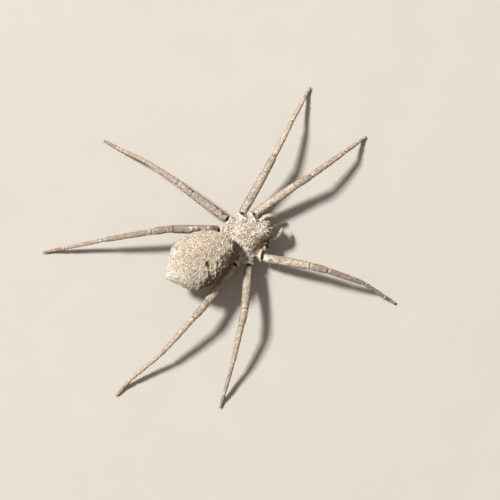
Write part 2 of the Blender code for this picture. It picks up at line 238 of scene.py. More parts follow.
def bell(distance, width):
    """1 at no distance, falling smoothly to nothing past the width."""
    return np.exp(-((distance / width) ** 2))


def ramp(value, start, end):
    """0 before the start, 1 after the end, smooth between them."""
    part = np.clip((value - start) / (end - start), 0.0, 1.0)
    return part * part * (3 - 2 * part)


def noise_at(points, size, shift=0.0):
    """Smooth noise from about -1 to 1 at each point, its lumps about this many millimetres across."""
    away = Vector((shift, -shift, shift))
    return np.array([noise.noise(Vector(point) / size + away) for point in points])


def body_places(points):
    """Each point's place ahead of the carapace's middle, to the left, and above the floor."""
    return BODY_Y - points[:, 1], points[:, 0] - BODY_X, points[:, 2]


def refine(piece, chosen):
    """Cuts the chosen faces of a piece in four."""
    select_only(piece)
    bpy.ops.object.mode_set(mode="EDIT")
    bpy.ops.mesh.select_mode(type="FACE")
    bpy.ops.mesh.select_all(action="DESELECT")
    bpy.ops.object.mode_set(mode="OBJECT")
    piece.data.polygons.foreach_set("select", chosen)
    bpy.ops.object.mode_set(mode="EDIT")
    bpy.ops.mesh.subdivide(number_cuts=1, smoothness=0.0)
    bpy.ops.mesh.select_all(action="SELECT")
    bpy.ops.mesh.quads_convert_to_tris()
    bpy.ops.object.mode_set(mode="OBJECT")


def off_line(plan, start, end):
    """How far each place on a plan lies from a straight line."""
    way = end - start
    share = np.clip((plan - start) @ way / (way @ way), 0.0, 1.0)
    return np.linalg.norm(plan - start - share[:, None] * way, axis=1)


face_middles = rows_of(skin.data.polygons, "center")
wanted = body_places(face_middles)[0] > HEAD_FROM
wanted &= np.abs(face_middles[:, 0] - BODY_X) < HEAD_HALF_WIDTH
for line in leg_lines.values():
    wanted |= np.linalg.norm(face_middles - line[0], axis=1) < HIP_REACH
refine(skin, wanted)

# Which solid each point of the skin stands for
solid_points, solid_faces, solid_parts = [], [], []
for number, node in enumerate(FLESH):
    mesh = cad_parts[node].data
    first_point = len(solid_points)
    solid_points += [tuple(point) for point in rows_of(mesh.vertices) / MM]
    solid_faces += [[first_point + i for i in face.vertices] for face in mesh.polygons]
    solid_parts += [number] * len(mesh.polygons)
solids = BVHTree.FromPolygons(solid_points, solid_faces)
skin_points = rows_of(skin.data.vertices)
part = np.array([solid_parts[solids.find_nearest(point)[2]] for point in skin_points])
ahead, left, up = body_places(skin_points)
on_abdomen = part == FLESH.index("abdomen")
on_carapace = part == FLESH.index("cephalothorax")
on_spinnerets = part == FLESH.index("spinnerets")
on_palp = (part == FLESH.index("palp_left")) | (part == FLESH.index("palp_right"))

# Where each point lies on its leg: the leg, the segment, the way out from the hip, the next joint and how
# near it is, and the turn round the leg from its top. What lies close to a hip has the way out from it too.
count = len(skin_points)
FAR = 9.0
HIP_ZONE = 0.95
PALP_JOINTS = (2.08, 2.62, 3.05, 3.40)
leg_of = np.full(count, -1)
segment_of = np.full(count, -1)
joint_of = np.zeros(count, int)
near_joint = np.full(count, FAR)
past_hip = np.full(count, FAR)
way_out, turn, hip_turn = np.zeros((3, count))
lie = np.zeros((count, 3))
for place in PALP_JOINTS:
    near_joint[on_palp] = np.minimum(near_joint[on_palp], np.abs(ahead[on_palp] - place))
for number, (leg, line) in enumerate(leg_lines.items()):
    gone = 0.0
    for order, segment in enumerate(SEGMENTS):
        reach = np.linalg.norm(line[order + 1] - line[order])
        way = (line[order + 1] - line[order]) / reach
        side = unit(np.cross(way, (0, 0, 1)))
        top = np.cross(side, way)
        mine = part == FLESH.index(f"{segment}_{leg[0]}_{leg[1]}")
        from_joint = skin_points[mine] - line[order]
        along = from_joint @ way
        leg_of[mine] = number
        segment_of[mine] = order
        way_out[mine] = gone + along
        to_next = FAR if order == 4 else np.abs(reach - along)
        near_joint[mine] = np.minimum(np.abs(along), to_next)
        joint_of[mine] = order + ((along > 0.5 * reach) & (order < 4))
        turn[mine] = np.arctan2(from_joint @ side, from_joint @ top)
        lie[mine] = way
        if order == 0:
            from_hip = skin_points - line[0]
            close = (np.linalg.norm(from_hip, axis=1) < HIP_ZONE) & (mine | on_carapace)
            past_hip[close] = (from_hip @ way)[close]
            hip_turn[close] = np.arctan2(from_hip @ side, from_hip @ top)[close]
            near_joint[close & on_carapace] = np.abs(past_hip[close & on_carapace])
        gone += reach
on_leg = leg_of >= 0
at_hip = past_hip < FAR

# The right front leg is lost, and its hip ends in a stump whose hollow is painted dark as shade
STUMP_HOLLOW = 0.10
STUMP_RADIUS = 0.34
lost_line = leg_lines["left", 1][:2] * (-1, 1, 1) + (2 * BODY_X, 0, 0)
lost_hip = lost_line[0]
lost_way = unit(lost_line[1] - lost_hip)
past_stump = (skin_points - lost_hip) @ lost_way
off_stump = np.linalg.norm(skin_points - lost_hip - past_stump[:, None] * lost_way, axis=1)
stump_end = past_stump[on_carapace & (off_stump < 0.25)].max()
stump = ramp(past_stump, stump_end - 0.30, stump_end - 0.12) * (off_stump < 0.8) * on_carapace

relief = -STUMP_HOLLOW * stump * bell(off_stump, STUMP_RADIUS)
depth, width = JOINT_FOLD
relief -= depth * bell(near_joint, width) * ((on_leg | at_hip) + 0.25 * on_palp)
height, place, width = JOINT_LIP
relief += height * bell(near_joint - place, width) * on_leg
height, place, width = HIP_COLLAR
relief += height * bell(past_hip - place, width) * at_hip
depth, width, sweep = HIP_SLOT
hip_slot = bell(past_hip, width) * bell(hip_turn, sweep) * at_hip
relief -= depth * hip_slot

on_top = ramp(up, 2.1, 2.7) * on_carapace
depth, place, length, width = FOVEA
pit = bell(left, width) * bell(ahead - place, length) * on_top
relief -= depth * pit
furrow = np.zeros(count)
for start, end, depth, width in FURROWS:
    apart = off_line(np.stack([ahead, np.abs(left)], 1), np.array(start), np.array(end))
    cut = bell(apart, width) * on_top
    relief -= depth * cut
    furrow = np.maximum(furrow, cut)

pitted = np.zeros(count)
for place_ahead, place_left, depth, width in PITS:
    hollow = bell(np.hypot(ahead - place_ahead, left - place_left), width) * on_carapace
    relief -= depth * hollow
    pitted = np.maximum(pitted, hollow * depth / PITS[0][2])

dent = np.zeros(count)
on_back = on_abdomen * ramp(up, 3.9, 4.6)


def slanting(place_ahead, place_left, long, wide):
    """Nearness to a place on the back, in an oval that slants as the bristles on the right flank do."""
    to_rear, to_right = place_ahead - ahead, place_left - left
    along = (0.47 * to_rear + 0.88 * to_right) / long
    across = (0.88 * to_rear - 0.47 * to_right) / wide
    return bell(np.hypot(along, across), 1.0)


for place_ahead, place_left, depth, width, stretch in DENTS:
    hollow = slanting(place_ahead, place_left, width * stretch, width) * on_back
    relief -= depth * hollow
    dent = np.maximum(dent, hollow * depth / DENTS[0][2])

# The underside: a breast plate ringed by the hips, with a groove round it and between each two hips, and
# on the abdomen a groove across, behind the two plates of the lungs. In turn: the breast plate's middle,
# half length and half width, the depth and width of its groove and of the hips' grooves, the lung groove's
# place, reach, depth and width, and the lung plates' place, distance aside, half length and half width
BREAST_PLATE = (0.05, 1.45, 1.00)
BREAST_GROOVE = (0.13, 0.10)
HIP_GROOVE = (0.20, 0.13)
LUNG_GROOVE = (-3.95, 1.55, 0.06, 0.10)
LUNG_PLATES = (-3.40, 0.85, 0.34, 0.55)
LUNG_SWELL = 0.03
below = ramp(1.95 - up, 0.0, 0.35) * on_carapace
hips = [line[0] for line in leg_lines.values()]
hips.append(lost_hip)
from_hips = []
plan = np.stack([ahead, left], 1)
for hip in hips:
    end = np.array(body_places(hip[None])[:2]).ravel()
    start = 0.35 * end + (0.65 * BREAST_PLATE[0], 0)
    from_hips.append(off_line(plan, start, end))
from_hips = np.sort(np.array(from_hips), axis=0)
out_of_plate = np.hypot((ahead - BREAST_PLATE[0]) / BREAST_PLATE[1], left / BREAST_PLATE[2]) - 1
depth, width = BREAST_GROOVE
under_groove = bell(out_of_plate, width)
relief -= depth * under_groove * below
depth, width = HIP_GROOVE
between = bell(from_hips[1] - from_hips[0], width) * (out_of_plate > 0)
relief -= depth * between * below
under_groove = np.maximum(under_groove, between) * below
place, reach, depth, width = LUNG_GROOVE
across = bell(ahead - place - 0.06 * left ** 2, width) * ramp(reach - np.abs(left), 0, 0.5)
under_abdomen = on_abdomen * (up < 2.6)
across = across * under_abdomen
relief -= depth * across
under_groove = np.maximum(under_groove, across)
place, aside, wide, reach = LUNG_PLATES
lungs = bell(np.hypot((ahead - place) / wide, (np.abs(left) - aside) / reach), 1.0) * under_abdomen
relief += LUNG_SWELL * lungs

# Shallow folds on the abdomen's flanks: height, and how far apart
FLANK_FOLD = (0.022, 0.95)
along_abdomen = (ahead - ABDOMEN_CENTRE[0]) / ABDOMEN_REACH[0]
abdomen_turn = np.arctan2(left / ABDOMEN_REACH[1], (up - ABDOMEN_CENTRE[1]) / ABDOMEN_REACH[2])
flank = bell(np.abs(abdomen_turn) - 1.5, 0.55) * on_abdomen * (1 - ramp(np.abs(along_abdomen), 0.7, 0.95))
relief += FLANK_FOLD[0] * np.cos(2 * np.pi * (ahead + 0.25 * np.abs(left)) / FLANK_FOLD[1]) * flank
ragged = 0.30 * noise_at(skin_points, 0.45) + 0.22 * noise_at(skin_points, 0.18, 7.0)
edge_left = np.interp(ahead, *zip(*CRUST_EDGE)) + CRUST_RAGGED[0] * ragged
edge_up = np.interp(ahead, *zip(*CRUST_LOWER_EDGE)) + CRUST_RAGGED[1] * ragged
crust = ramp(left - edge_left, -CRUST_THINS, 0.10) * ramp(up - edge_up, -CRUST_THINS, 0.10)
crust = np.where(on_abdomen, crust, 1.0)
relief += CRUST_HEIGHT * crust * on_abdomen

# Streaks that the bristles leave in the soil: along the legs, and slanting down the abdomen's right flank
STREAK_LONG = 0.55
STREAK_WIDE = 0.11
LEG_STREAK = (0.26, 0.06)
LEG_RADIUS = 0.36
FLANK_STREAK_WAY = unit(np.array((-0.80, 0.45, -0.40)))
leg_plan = np.stack([way_out / LEG_STREAK[0], turn * LEG_RADIUS / LEG_STREAK[1], leg_of * 7.0], 1)
streak = noise_at(leg_plan, 1.0, 1.0) * on_leg
flank_side = unit(np.cross(FLANK_STREAK_WAY, (0.0, 0.0, 1.0)))
flank_plan = np.stack([
    skin_points @ FLANK_STREAK_WAY / STREAK_LONG,
    skin_points @ flank_side / STREAK_WIDE,
    skin_points[:, 2] / STREAK_LONG,
], 1)
past_edge = left - edge_left
streaked = 0.5 * ramp(ahead, -4.6, -3.6) * ramp(2.4 - left, 0.0, 0.8)
streaked = np.maximum(bell(past_edge - 0.35, 0.85), streaked) * on_abdomen
streaked *= ramp(up, 2.8, 3.4) * ramp(noise_at(skin_points, 0.75, 4.0), -0.35, 0.15)
streak += noise_at(flank_plan, 1.0, 8.0) * streaked
broken = 1 + 1.1 * noise_at(flank_plan, 1.0, 5.0)


def broken_patches(rows, share):
    """Nearness to the places in these rows on the back, with broken edges."""
    found = np.zeros(count)
    for row in rows:
        found = np.maximum(found, slanting(*row) * on_abdomen * (up > 3.0))
    return np.clip(1.8 * found * share - 0.35, 0, 1)


STREAK_HEIGHT = (0.05, 0.01)
TUFT_HEIGHT = 0.06
gaps = broken_patches(GAPS, broken)
tufts = broken_patches(TUFTS, 2 - broken)
relief += np.where(on_abdomen, STREAK_HEIGHT[0], STREAK_HEIGHT[1] * (segment_of < 3)) * streak
relief += TUFT_HEIGHT * (tufts - gaps)

skin_normals = rows_of(skin.data.vertex_normals, "vector")
skin_points += skin_normals * relief[:, None]
skin.data.vertices.foreach_set("co", skin_points.astype(np.float32).ravel())
skin.data.update()

# Clods of soil swell the skin a little, most on the carapace: each sort's size and height in millimetres
CLODS = (("big_clods", 0.85, 0.07), ("clods", 0.40, 0.12), ("small_clods", 0.20, 0.12))
CLOD_SHARE = {"carapace": 0.90, "abdomen": 0.28, "leg": 0.17}
share = np.where(on_abdomen, CLOD_SHARE["abdomen"], CLOD_SHARE["leg"] * np.where(segment_of > 2, 0.5, 1.0))
share[on_carapace] = CLOD_SHARE["carapace"]
share = share * (1 - 0.8 * bell(near_joint, 0.25)) * (0.4 + 0.6 * crust)
CLOD_GROUP = "clod_share"
CLOD_STEPS = 20
shares = skin.vertex_groups.new(name=CLOD_GROUP)
for step in range(CLOD_STEPS + 1):
    shares.add(np.flatnonzero(np.round(share * CLOD_STEPS) == step).tolist(), step / CLOD_STEPS, "REPLACE")
for name, size, height in CLODS:
    pattern = bpy.data.textures.new(name, "CLOUDS")
    pattern.noise_scale = size
    pattern.noise_depth = 1
    modify(
        skin, name, "DISPLACE", texture=pattern, texture_coords="LOCAL",
        vertex_group=CLOD_GROUP, strength=height, mid_level=0.5,
    )
skin.vertex_groups.clear()
skin_points = rows_of(skin.data.vertices)
skin_normals = rows_of(skin.data.vertex_normals, "vector")

# Markings, the same for the skin and for the coat on it: dry beige soil, paler at the abdomen's rear, partly
# as painted light, and browner out along the legs, with bald brown patches, dark joint folds, pale hip
# collars and dark dents. Painted shade darkens the bare flank, the legs' sides, the head's right side and
# the hollows of the hips, the stump and the pits.
COLOURS = {
    "abdomen": "#dfd0bc",
    "abdomen_rear_light": "#f8eedc",
    "abdomen_flank_and_shade": "#8f785f",
    "carapace": "#e4d7c6",
    "femur": "#dacdbc",
    "patella": "#d4c5b1",
    "tibia": "#d1c1b0",
    "metatarsus": "#c0af9e",
    "tarsus": "#ab937a",
    "grey_dust": "#bfab98",
    "side_brown_and_shade": "#a1764f",
    "palp": "#e0d1bb",
    "under": "#b09b80",
    "breast": "#9a7c5f",
    "fold": "#5c4534",
    "joint": "#a07c5e",
    "collar": "#f6ecdc",
    # the slot's near black is painted shade in the hip slots and the stump's hollow
    "slot": "#2a201a",
    "bald_and_shade": "#6b4937",
    "dent": "#3f281a",
    "furrow": "#b9a285",
    "speck": "#86694f",
    "warm": "#c7a285",
    "chalk": "#faf0e0",
    "rosy": "#e7ccb5",
}
# Places on the abdomen where its warm skin shows through thin soil: ahead, to the left, and radius
WARM_PATCHES = ((-5.35, 0.95, 0.60), (-5.50, -0.75, 0.55), (-6.60, 0.30, 0.70), (-4.55, 0.10, 0.50))
# How pale each leg is, from its femur to its tarsus: partly its soil, partly painted light and shade, darker
# on segments that lay in shade and paler on those in light
SEGMENT_TONE_AND_LIGHT = {
    ("left", 1): (1.13, 0.84, 1.00, 1.00, 1.00),
    ("left", 2): (1.11, 0.90, 1.22, 1.16, 1.05),
    ("left", 3): (0.90, 1.04, 0.88, 0.91, 0.68),
    ("left", 4): (0.72, 0.79, 0.78, 0.96, 0.70),
    ("right", 2): (1.03, 0.70, 0.78, 0.78, 0.76),
    ("right", 3): (0.92, 0.97, 1.18, 1.03, 1.00),
    ("right", 4): (1.00, 1.00, 1.12, 1.14, 1.05),
}
# Along the top of a leg it is this much paler: partly dust lying thickest there, partly painted light
TOP_DUST_AND_LIGHT = 0.12
# Legs whose rosy brown shell shows through the dust
ROSY = {("left", 1): 0.28, ("left", 2): 0.18, ("right", 4): 0.10}
# Legs that carry greyer dust past the femur
GREY_DUST = {
    ("left", 3): 0.65, ("left", 4): 0.60, ("right", 2): 0.50, ("right", 3): 0.30, ("right", 4): 0.30,
}


def linear(code):
    """The linear red, green and blue of an sRGB hex colour."""
    values = np.array([int(code[i:i + 2], 16) / 255 for i in (1, 3, 5)])
    return np.where(values <= 0.04045, values / 12.92, ((values + 0.055) / 1.055) ** 2.4)


def blend_in(colours, code, share):
    """Moves the colours towards a hex colour by each point's share."""
    return colours + (linear(code) - colours) * np.clip(share, 0, 1)[:, None]


def paint(name, share):
    """Moves the marking towards one of the colours by each point's share."""
    marking[:] = blend_in(marking, COLOURS[name], share)


marking = np.tile(linear(COLOURS["carapace"]), (count, 1))
paint("abdomen", on_abdomen)
# The rear is paler partly as painted light
paint("abdomen_rear_light", on_abdomen * ramp(-along_abdomen, 0.1, 0.9))
# The bare flank: brown skin, made darker still as painted shade
paint("abdomen_flank_and_shade", on_abdomen * (1 - crust))
paint("warm", 0.30 * ramp(noise_at(skin_points, 1.6, 2.0), -0.2, 0.5) * on_abdomen * crust)
for place_ahead, place_left, reach in WARM_PATCHES:
    paint("warm", 0.45 * bell(np.hypot(ahead - place_ahead, left - place_left), reach) * on_abdomen)
paint("palp", on_palp)
paint("abdomen_flank_and_shade", on_spinnerets)
for order, segment in enumerate(SEGMENTS):
    paint(segment, segment_of == order)

# Along the legs: the dust of each leg, its rosy shell, each segment's tone with painted light and shade,
# tops paler with dust and painted light, and sides brown with painted shade
past_femur = segment_of > 0
top_side = np.cos(turn)
for leg, share in GREY_DUST.items():
    paint("grey_dust", share * ((leg_of == LEGS.index(leg)) & past_femur))
for leg, share in ROSY.items():
    paint("rosy", share * (leg_of == LEGS.index(leg)) * ramp(way_out, -1.0, 4.5))
for leg, tones_and_light in SEGMENT_TONE_AND_LIGHT.items():
    for order, tone_and_light in enumerate(tones_and_light):
        marking[(leg_of == LEGS.index(leg)) & (segment_of == order)] *= tone_and_light
top_dust_and_light = TOP_DUST_AND_LIGHT * on_leg * ramp(top_side, 0.6, 1.0) * np.where(past_femur, 1.0, 0.4)
marking *= (1 + top_dust_and_light)[:, None]
# Brown on the legs' sides and undersides: brown shell, deepened as painted shade
paint("side_brown_and_shade", 0.85 * on_leg * (1 - ramp(top_side, -0.10, 0.95)))

# The underside and the carapace's furrows
paint("under", 0.7 * on_carapace * (1 - ramp(up, 1.3, 2.0)))
paint("furrow", 0.4 * furrow)
paint("breast", 0.75 * below * (out_of_plate < 0))
paint("breast", 0.6 * lungs)
paint("fold", 0.8 * under_groove)

# Dark and chalky grains, cracks, streaks, the crust's gaps and tufts, dents and pits
fine = noise_at(skin_points, 0.16, 3.0)
broad = noise_at(skin_points, 0.50, 5.0)
contrast = np.where(on_carapace, 0.70, np.where(past_femur, 0.26, 0.46))
paint("speck", contrast * ramp(fine + 0.45 * broad, 0.10, 0.50) * crust)
paint("chalk", contrast * ramp(-fine + 0.30 * broad, 0.10, 0.55) * crust)
paint("fold", 0.55 * ramp(noise_at(skin_points, 0.13, 9.0), 0.42, 0.62))
paint("fold", np.where(on_abdomen, 0.80, 0.30) * ramp(-streak, 0.12, 0.42))
paint("chalk", np.where(on_abdomen, 0.85, 0.30) * ramp(streak, 0.12, 0.42))
paint("fold", 0.85 * gaps)
paint("chalk", 0.95 * tufts)
paint("dent", 0.95 * np.clip(2.2 * dent - 0.4 + 0.5 * fine, 0, 1))
# The pits, and the fovea more faintly, are darkened as painted shade in the hollows
paint("dent", 0.7 * np.maximum(0.4 * pit, pitted))

# On the head's front edge and on its right side the soil is thin, and the brown under it shows; there it is
# also darkened as painted shade, beyond the line where the head turns into shade
THIN_SOIL_AND_SHADE_EDGE = ((-0.45, -1.22), (0.41, -0.13), (1.90, -0.57))
past_shade_edge = np.interp(ahead, *zip(*THIN_SOIL_AND_SHADE_EDGE)) - left + 0.35 * broad
thin_soil_and_shade = ramp(past_shade_edge, 0.0, 0.4) * ramp(ahead, -0.6, 0.0) * ramp(1.85 + left, 0.0, 0.3)
thin_soil_and_shade = np.maximum(thin_soil_and_shade, ramp(ahead + 0.3 * broad, 2.05, 2.35)) * on_carapace
paint("side_brown_and_shade", 0.55 * thin_soil_and_shade)
paint("bald_and_shade", 0.65 * thin_soil_and_shade * ramp(fine + 0.3 * broad, 0.0, 0.40))

# Bald brown patches on each leg, those along the lower side of the left hind leg partly painted shade:
# middle and length along it, middle and width round it, and strength
BALD_AND_SHADE = {
    ("left", 1): ((2.60, 0.50, 1.2, 0.4, 0.45),),
    ("left", 2): ((1.70, 0.25, -0.7, 0.5, 0.5), (0.80, 0.20, 0.9, 0.4, 0.5)),
    ("left", 3): (
        (0.78, 0.40, 0.80, 0.55, 1.0), (1.55, 0.22, 1.15, 0.40, 0.7), (4.95, 0.12, 0.9, 0.9, 0.7),
    ),
    ("left", 4): (
        (0.52, 0.24, 0.20, 1.30, 1.0), (1.38, 0.20, -0.20, 0.65, 1.0), (1.88, 0.17, -0.70, 0.60, 1.0),
        (2.28, 0.22, -0.25, 0.60, 1.0), (2.90, 0.15, -0.25, 0.60, 1.0), (2.00, 1.20, -1.30, 0.45, 0.8),
        (3.90, 0.50, -0.95, 0.40, 0.5), (5.15, 0.14, 0.0, 2.5, 0.9),
    ),
    ("right", 2): (
        (0.95, 0.12, 0.2, 0.25, 0.8), (1.90, 0.10, -0.3, 0.25, 0.7), (3.10, 0.14, 0.4, 0.30, 0.7),
    ),
    ("right", 3): ((1.00, 0.40, 0.6, 0.6, 0.5),),
    ("right", 4): ((5.20, 0.20, 0.3, 1.2, 0.5),),
}
# Chalky spots, in the same way
CHALKY = {
    ("left", 3): (
        (1.22, 0.10, 0.85, 0.25, 1.0), (1.05, 0.07, 0.45, 0.20, 0.9), (0.62, 0.06, 1.05, 0.20, 0.9),
        (0.30, 0.10, 0.20, 0.40, 0.7),
    ),
    ("left", 4): (
        (3.12, 0.12, 0.25, 0.45, 1.0), (2.58, 0.10, 0.45, 0.35, 0.8), (1.20, 0.12, 0.50, 0.40, 0.8),
        (1.68, 0.08, 0.05, 0.25, 0.8),
    ),
    ("right", 2): ((0.35, 0.25, 0.10, 0.80, 0.7),),
}


def spots(table):
    """How strongly each point lies in the spots on the legs."""
    found = np.zeros(count)
    for leg, rows in table.items():
        on_this = leg_of == LEGS.index(leg)
        for place, length, place_turn, sweep, strength in rows:
            round_by = np.abs((turn - place_turn + np.pi) % (2 * np.pi) - np.pi)
            spot = bell(way_out - place, length) * bell(round_by, sweep) * on_this
            found = np.maximum(found, strength * np.clip(1.6 * spot, 0, 1))
    return found


# How dark the fold of each joint is, from the hip outwards
FOLD_DARKNESS = np.array((1.0, 0.72, 0.62, 0.80, 0.30))
bald_and_shade = spots(BALD_AND_SHADE)
paint("bald_and_shade", bald_and_shade * (0.9 + 0.5 * fine))
paint("chalk", spots(CHALKY))
past_collar = on_leg & ~at_hip
paint("joint", 0.25 * bell(near_joint, 0.20) * past_collar)
paint("collar", 0.55 * bell(near_joint - 0.19, 0.08) * past_collar * (1 - np.clip(bald_and_shade, 0, 1)))
paint("fold", bell(near_joint, 0.065) * (past_collar + 0.3 * on_palp) * FOLD_DARKNESS[joint_of])
collar = bell(past_hip - HIP_COLLAR[1], HIP_COLLAR[2]) * bell(hip_turn, 1.5) * at_hip
paint("collar", 1.2 * collar)
# Hip slots and the stump's hollow painted dark: painted shade in these hollows
paint("slot", np.maximum(1.5 * hip_slot, 1.2 * stump))


def keep_marking(mesh, colours):
    """Stores each point's colour on a mesh as its marking."""
    kept = mesh.color_attributes.new("marking", "FLOAT_COLOR", "POINT")
    opaque = np.hstack([colours, np.ones((len(colours), 1))])
    kept.data.foreach_set("color", opaque.astype(np.float32).ravel())


keep_marking(skin.data, marking)


def add_node(tree, kind, settings=(), links=()):
    """Adds a node, gives it settings by the name of a field or socket, and links outputs to its sockets."""
    node = tree.nodes.new(kind)
    for name, value in dict(settings).items():
        if isinstance(name, str) and hasattr(node, name):
            setattr(node, name, value)
        else:
            node.inputs[name].default_value = value
    for name, output in dict(links).items():
        tree.links.new(output, node.inputs[name])
    return node


def new_finish(name, settings):
    """A material with these shader settings: it, its nodes, its shader and a piece's own coordinates."""
    finish = bpy.data.materials.new(name)
    finish.use_nodes = True
    tree = finish.node_tree
    shader = tree.nodes["Principled BSDF"]
    for socket, value in settings.items():
        shader.inputs[socket].default_value = value
    return finish, tree, shader, add_node(tree, "ShaderNodeTexCoord").outputs["Object"]


def mottle(tree, place, size, detail, shades, roughness=0.6, span=(0.3, 0.7)):
    """Noise with lumps of this many millimetres, and a shade that follows it from the one to the other."""
    lumps = add_node(
        tree, "ShaderNodeTexNoise",
        {"Scale": 1 / (size * MM), "Detail": detail, "Roughness": roughness}, {"Vector": place},
    ).outputs["Fac"]
    shade = add_node(
        tree, "ShaderNodeMapRange",
        {"From Min": span[0], "From Max": span[1], "To Min": shades[0], "To Max": shades[1]},
        {"Value": lumps},
    )
    return lumps, shade.outputs["Result"]


def show_marking(tree, shader, shade):
    """Gives the shader the stored marking, darkened and paled by a shade."""
    stored = add_node(tree, "ShaderNodeAttribute", {"attribute_name": "marking"})
    shaded = add_node(
        tree, "ShaderNodeVectorMath", {"operation": "SCALE"}, {0: stored.outputs["Color"], "Scale": shade},
    )
    tree.links.new(shaded.outputs["Vector"], shader.inputs["Base Color"])


# Dusted spider skin: dull horny shell under fine dry silt, so it has no gloss and is mottled at the size of
# the grains, with broader patches where the silt lies thicker
SILT_GRAIN = 0.09
SILT_PATCH = 0.45
dusted, tree, shader, place = new_finish("silt_dusted_skin", {"Roughness": 0.93, "Specular IOR Level": 0.15})
grains, grain_shade = mottle(tree, place, SILT_GRAIN, 3.0, (0.72, 1.15))
patch_shade = mottle(tree, place, SILT_PATCH, 2.0, (0.9, 1.06), roughness=0.5)[1]
both = add_node(tree, "ShaderNodeMath", {"operation": "MULTIPLY"}, {0: grain_shade, 1: patch_shade})
show_marking(tree, shader, both.outputs["Value"])
bump = add_node(tree, "ShaderNodeBump", {"Strength": 0.7, "Distance": 0.03 * MM}, {"Height": grains})
tree.links.new(bump.outputs["Normal"], shader.inputs["Normal"])
skin.data.materials.clear()
skin.data.materials.append(dusted)

skin.data.transform(Matrix.Scale(MM, 4))
select_only(skin)
bpy.ops.object.shade_smooth()
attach(skin, "root")
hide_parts(*FLESH)

# Eyes. Eight small domes of clear horn over dark tissue, in two curved rows on the front of the head, each
# in a low ring of bare shell. Each sits on the skin at its place and looks out from it.
# The eyes of one side: ahead, to the left, height above the floor, and radius
EYES = (
    (2.50, 0.15, 2.98, 0.075),
    (2.40, 0.43, 2.88, 0.095),
    (2.24, 0.20, 3.26, 0.090),
    (1.98, 0.48, 3.22, 0.105),
)
EYE_SUNK = 0.15
# How each eye's look is turned from straight off the skin: outwards, back and up
EYE_LOOK = Vector((0.25, -0.35, 0.55))


def placed_copy(piece, name, matrix):
    """A copy of a piece with its own mesh, moved by a matrix."""
    made = bpy.data.objects.new(name, piece.data.copy())
    made.data.transform(matrix)
    bpy.context.scene.collection.objects.link(made)
    return made


def joined(pieces, name):
    """Joins pieces to one and names it."""
    select_only(*pieces)
    bpy.ops.object.join()
    made = bpy.context.object
    made.name = made.data.name = name
    return made


bpy.ops.object.select_all(action="DESELECT")
bpy.ops.mesh.primitive_uv_sphere_add(segments=20, ring_count=14, radius=1.0, location=(0, 0, 0))
eye_shape = bpy.context.object
bpy.ops.object.mode_set(mode="EDIT")
bpy.ops.mesh.bisect(plane_co=(0, 0, -0.15), plane_no=(0, 0, 1), clear_inner=True, use_fill=True)
bpy.ops.mesh.extrude_region_move(TRANSFORM_OT_translate={"value": (0, 0, -0.45)})
bpy.ops.transform.resize(value=(0.85, 0.85, 0.85), center_override=(0, 0, -0.6))
bpy.ops.object.mode_set(mode="OBJECT")
bpy.ops.mesh.primitive_torus_add(
    major_segments=20, minor_segments=8, major_radius=1.08, minor_radius=0.24, location=(0, 0, -0.12),
)
rim_shape = bpy.context.object
bpy.ops.object.transform_apply()
bpy.ops.object.mode_set(mode="EDIT")
bpy.ops.mesh.select_all(action="SELECT")
bpy.ops.transform.vertex_random(offset=0.05, seed=4)
bpy.ops.object.mode_set(mode="OBJECT")

skin_tree = BVHTree.FromPolygons(
    [tuple(point) for point in skin_points], [tuple(face.vertices) for face in skin.data.polygons],
)
eye_places = []
eyes, rims = [], []
for forward, aside, above, radius in EYES:
    for sign in (1, -1):
        place, facing = skin_tree.find_nearest(at(forward, sign * aside, above))[:2]
        facing = (facing + EYE_LOOK * Vector((sign, 1, 1))).normalized()
        put = Matrix.Translation((place - facing * radius * EYE_SUNK) * MM)
        put = put @ facing.to_track_quat("Z", "Y").to_matrix().to_4x4() @ Matrix.Scale(radius * MM, 4)
        eyes.append(placed_copy(eye_shape, "eye", put))
        rims.append(placed_copy(rim_shape, "eye_rim", put))
        eye_places.append((place, radius))
bpy.data.objects.remove(eye_shape, do_unlink=True)
bpy.data.objects.remove(rim_shape, do_unlink=True)
eyes = joined(eyes, "eyes")
rims = joined(rims, "eye_rims")
for piece in (eyes, rims):
    select_only(piece)
    bpy.ops.object.shade_smooth()
    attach(piece, "root")

# Clear horn over dark tissue: near black with a little brown depth, and a sharp wet gloss
HORN_MOTTLE = 0.08
cornea, tree, shader, place = new_finish("clear_horn_over_dark_tissue", {"Roughness": 0.12, "IOR": 1.5})
depth = add_node(
    tree, "ShaderNodeTexNoise", {"Scale": 1 / (HORN_MOTTLE * MM), "Detail": 1.0}, {"Vector": place},
)
horn = add_node(
    tree, "ShaderNodeMix",
    {"data_type": "RGBA", 6: (*linear("#0b0806"), 1.0), 7: (*linear("#2a1a10"), 1.0)},
    {"Factor": depth.outputs["Fac"]},
)
tree.links.new(horn.outputs[2], shader.inputs["Base Color"])
eyes.data.materials.append(cornea)

# Bare shell: brown horn with a dull shine, mottled darker, dusty in its dips
SHELL_MOTTLE = 0.16
SHELL_DUST = 0.22
bare_shell, tree, shader, place = new_finish("bare_brown_shell", {"Roughness": 0.58, "IOR": 1.55})
mottling = add_node(
    tree, "ShaderNodeTexNoise",
    {"Scale": 1 / (SHELL_MOTTLE * MM), "Detail": 4.0, "Roughness": 0.6}, {"Vector": place},
)
shell = add_node(
    tree, "ShaderNodeMix",
    {"data_type": "RGBA", 6: (*linear("#3f2c1f"), 1.0), 7: (*linear("#7f6147"), 1.0)},
    {"Factor": mottling.outputs["Fac"]},
)
dust_share = mottle(tree, place, SHELL_DUST, 3.0, (0.25, 0.85), roughness=0.65, span=(0.40, 0.58))[1]
dusty = add_node(
    tree, "ShaderNodeMix",
    {"data_type": "RGBA", 7: (*linear("#c4b198"), 1.0)}, {"Factor": dust_share, 6: shell.outputs[2]},
)
tree.links.new(dusty.outputs[2], shader.inputs["Base Color"])
